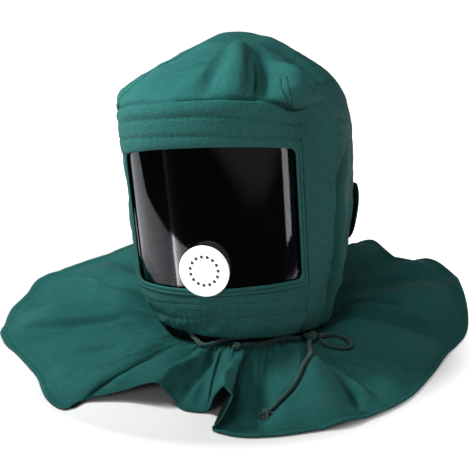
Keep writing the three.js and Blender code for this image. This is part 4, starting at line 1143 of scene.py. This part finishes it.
# Seams on the head part: raised lines in a dark colour, a painted shadow along each seam
SEAMS = (
    ((-64.5, 0.768), (-64, 0.8), (-57, 0.82), (-50, 0.84), (-54, 0.87), (-59, 0.9), (-60, 0.93), (-58, 0.96)),
    ((46, 0.828), (45.5, 0.81), (47, 0.78), (49, 0.752)),
    ((47.8, 0.826), (47.8, 0.806), (49, 0.78), (51, 0.75)),
    ((70, 0.815), (77.5, 0.816), (100, 0.812), (125, 0.8), (160, 0.78), (180, 0.775)),
    ((-180, 0.775), (-150, 0.785), (-110, 0.79), (-84, 0.775), (-70, 0.768)),
    ((180, 0.77), (180, 0.6), (180, 0.4), (180, 0.2), (180, 0.0)),
)
tubes("hood_seam_shadow_lines", [on_skin(line, -0.1, 2) for line in SEAMS], 0.55, 6, seam_shadow_look, "binding")

# The drawcord

def knotted(place, size, tilt):
    """A tight overhand knot: the cord's own loop, drawn small."""
    turns = np.linspace(0, 2 * np.pi, 73)
    loop = np.stack([np.sin(turns) + 2 * np.sin(2 * turns), np.cos(turns) - 2 * np.cos(2 * turns),
                     -1.6 * np.sin(3 * turns)], -1) / 3
    loop = loop @ turn_matrix("Z", tilt).T @ turn_matrix("X", 35).T
    return place + loop * np.array(size)


neck_back = under_edge(np.linspace(-28, -302, 25), NECK_INSET + CORD_GROOVE - CORD_DIAMETER, 1)
neck_route = smooth_route([*NECK_CORD_FRONT[::-1], *neck_back], 1.6)
tubes("drawcord_neck", [neck_route], CORD_DIAMETER / 2, 12, cord_look, "cord", ("neck_cord",))
for name, place, size, tilt, radius, sides, node in (
        ("drawcord_knot", KNOT_AT, (5.8, 4.6, 3.9), 20, 2.3, 12, "bow_knot"),
        ("short_end_tip", SHORT_KNOT_AT, (2.9, 2.4, 2.2), 60, 1.9, 10, "short_end_knot"),
        ("long_end_tip", LONG_KNOT_AT, (2.9, 2.4, 1.9), 10, 1.9, 10, "long_end_knot")):
    tubes(name, [knotted(place, size, tilt)], radius, sides, cord_look, "cord", (node,), True)

# Frayed strands at the long end's knot
random = np.random.default_rng(7)
frays = []
for _ in range(34):
    aim = np.array([-0.35, -0.85, -0.12]) + random.normal(size=3) * np.array([0.5, 0.35, 0.16])
    aim /= np.linalg.norm(aim)
    start = LONG_KNOT_AT + aim * 3
    end = start + aim * random.uniform(5, 11)
    end[2] = max(end[2], 2.6 + random.uniform(0, 1.5))
    bent = (start + end) / 2 + random.normal(size=3) * 0.8
    bent[2] = max(bent[2], 2.8)
    frays.append(smooth_route([start, bent, end], 1.2))
tubes("frayed_strands", frays, 0.22, 5, cord_look, "cord")
for name, places, node, held, with_pieces in (
        ("drawcord_loop", BOW_LOOP, "bow_loop", "object", ()),
        ("drawcord_short_end", SHORT_END, "short_end", "knot", ("short_end_tip",)),
        ("drawcord_long_end", LONG_END, "long_end", "knot", ("long_end_tip", "frayed_strands"))):
    route = smooth_route(places, 1.5)
    made = tubes(name, [route], CORD_DIAMETER / 2, 12, cord_look, "cord", (node,))

# The room: a pale floor, five lamps and dim surroundings
right = Vector((math.cos(turn), math.sin(turn), 0))
level_back = Vector((-math.sin(turn), math.cos(turn), 0))

# The floor glows outside an oval round the cape, a painted glow, and stays grey inside it, a painted shadow
# round
# the cape: the oval's offset and radii in metres, where the glow starts and ends in shares of the radii, and
# its strength
SHADOW_OVAL_OFFSET = (0.02, 0.03, 0)
SHADOW_OVAL_RADII = (0.275, 0.255)
GLOW_FROM, GLOW_TO, GLOW = 0.92, 1.16, 0.95


def floor_piece(name, corners, faces, in_mirrors):
    """Part of the floor, which may be left out of mirror images."""
    mesh = bpy.data.meshes.new(name)
    places = [right * x + level_back * y for x, y in corners]
    mesh.from_pydata([tuple(place) for place in places], [], faces)
    made = bpy.data.objects.new(name, mesh)
    bpy.context.scene.collection.objects.link(made)
    made.visible_glossy = in_mirrors
    mesh.materials.append(floor_glow_and_shadow_look.material)


floor_glow_and_shadow_look = Look("floor_paper_painted_shadow")
place = floor_glow_and_shadow_look.node("ShaderNodeVectorMath", {"operation": "ADD"}, i0=floor_glow_and_shadow_look.texture_place("Object"),
                        i1=SHADOW_OVAL_OFFSET)
off = floor_glow_and_shadow_look.node("ShaderNodeVectorMath", {"operation": "LENGTH"}, out=1,
                      i0=floor_glow_and_shadow_look.stretched(place, 1 / SHADOW_OVAL_RADII[0], 1 / SHADOW_OVAL_RADII[1], 0))
glow = floor_glow_and_shadow_look.span(off, GLOW_FROM, GLOW_TO, 0, GLOW)
floor_glow_and_shadow_look.set(Base_Color=(0.5, 0.5, 0.5, 1), Roughness=0.95, Specular_IOR_Level=0.1, Emission_Strength=1.0,
               Emission_Color=floor_glow_and_shadow_look.node("ShaderNodeCombineColor", i0=glow, i1=glow, i2=glow))
NEAR_FLOOR = ((-0.62, -0.9), (0.9, -0.9), (0.9, 1.0), (-0.76, 1.0), (-0.76, 0.24), (-0.62, 0.1))
floor_piece("floor", NEAR_FLOOR, [(0, 1, 2, 3, 4, 5)], True)
floor_piece("floor_outer", NEAR_FLOOR + ((-12, -12), (12, -12), (12, 12), (-12, 12)),
            [(6, 7, 1, 0), (7, 8, 2, 1), (8, 9, 3, 2), (9, 6, 0, 5, 4, 3)], False)

# Lamps: place across, back and up and size in metres, watts, and whether mirrors show it
LAMPS_AIM = Vector((0.01, -0.02, 0.16))
for name, across, back, height, size, power, in_mirrors in (
        ("light_key", -0.52, 0.02, 0.66, (0.16, 0.16), 9.9, False),
        ("light_top", -0.05, -0.2, 0.95, (0.35, 0.35), 3.3, False),
        ("light_front", -0.75, -1.1, 0.55, (0.4, 0.4), 3.4, False),
        ("light_strip_right", 1.15, -0.72, 0.3, (0.15, 0.5), 0.8, True),
        ("light_right", 0.85, 0.55, 0.85, (0.5, 0.5), 2.1, False)):
    data = bpy.data.lights.new(name, "AREA")
    data.shape = "RECTANGLE"
    data.size, data.size_y = size
    data.energy = power
    lamp = bpy.data.objects.new(name, data)
    bpy.context.scene.collection.objects.link(lamp)
    lamp.location = right * across + level_back * back + Vector((0, 0, height))
    lamp.rotation_euler = (lamp.location - LAMPS_AIM).to_track_quat("Z", "Y").to_euler()
    lamp.visible_glossy = in_mirrors

# The surroundings give pale light. In mirrors they are dim, with a faint belt just above the floor's edge
world = bpy.data.worlds.new("room")
bpy.context.scene.world = world
world.use_nodes = True
tree = world.node_tree
tree.nodes.clear()


def room_node(kind, *values, out=0):
    """A node of the surroundings, its inputs fed in order."""
    made = tree.nodes.new(kind)
    for socket, value in zip(made.inputs, values):
        feed(tree, socket, value)
    return Shade(tree, made.outputs[out])


pale = room_node("ShaderNodeBackground", (0.95, 0.97, 1, 1), 0.17)
dim = room_node("ShaderNodeBackground", (0.5, 0.52, 0.6, 1), 0.06)
far = room_node("ShaderNodeBackground", (1, 0.96, 0.94, 1), 0.3)
belt = tree.nodes.new("ShaderNodeValToRGB")
belt.color_ramp.elements[0].color = (0, 0, 0, 1)
belt.color_ramp.elements[1].position = 0.03
for spot, level in ((0.2, 1), (0.3, 0)):
    belt.color_ramp.elements.new(spot).color = (level, level, level, 1)
direction = room_node("ShaderNodeTexCoord", out="Generated")
feed(tree, belt.inputs[0], room_node("ShaderNodeSeparateXYZ", direction, out="Z"))
mirrored = room_node("ShaderNodeMixShader", Shade(tree, belt.outputs[0]), dim, far)
seen = room_node("ShaderNodeMixShader", room_node("ShaderNodeLightPath", out="Is Glossy Ray"), pale, mirrored)
feed(tree, tree.nodes.new("ShaderNodeOutputWorld").inputs[0], seen)
view = bpy.context.scene.view_settings
view.view_transform = "Standard"
view.look = "None"
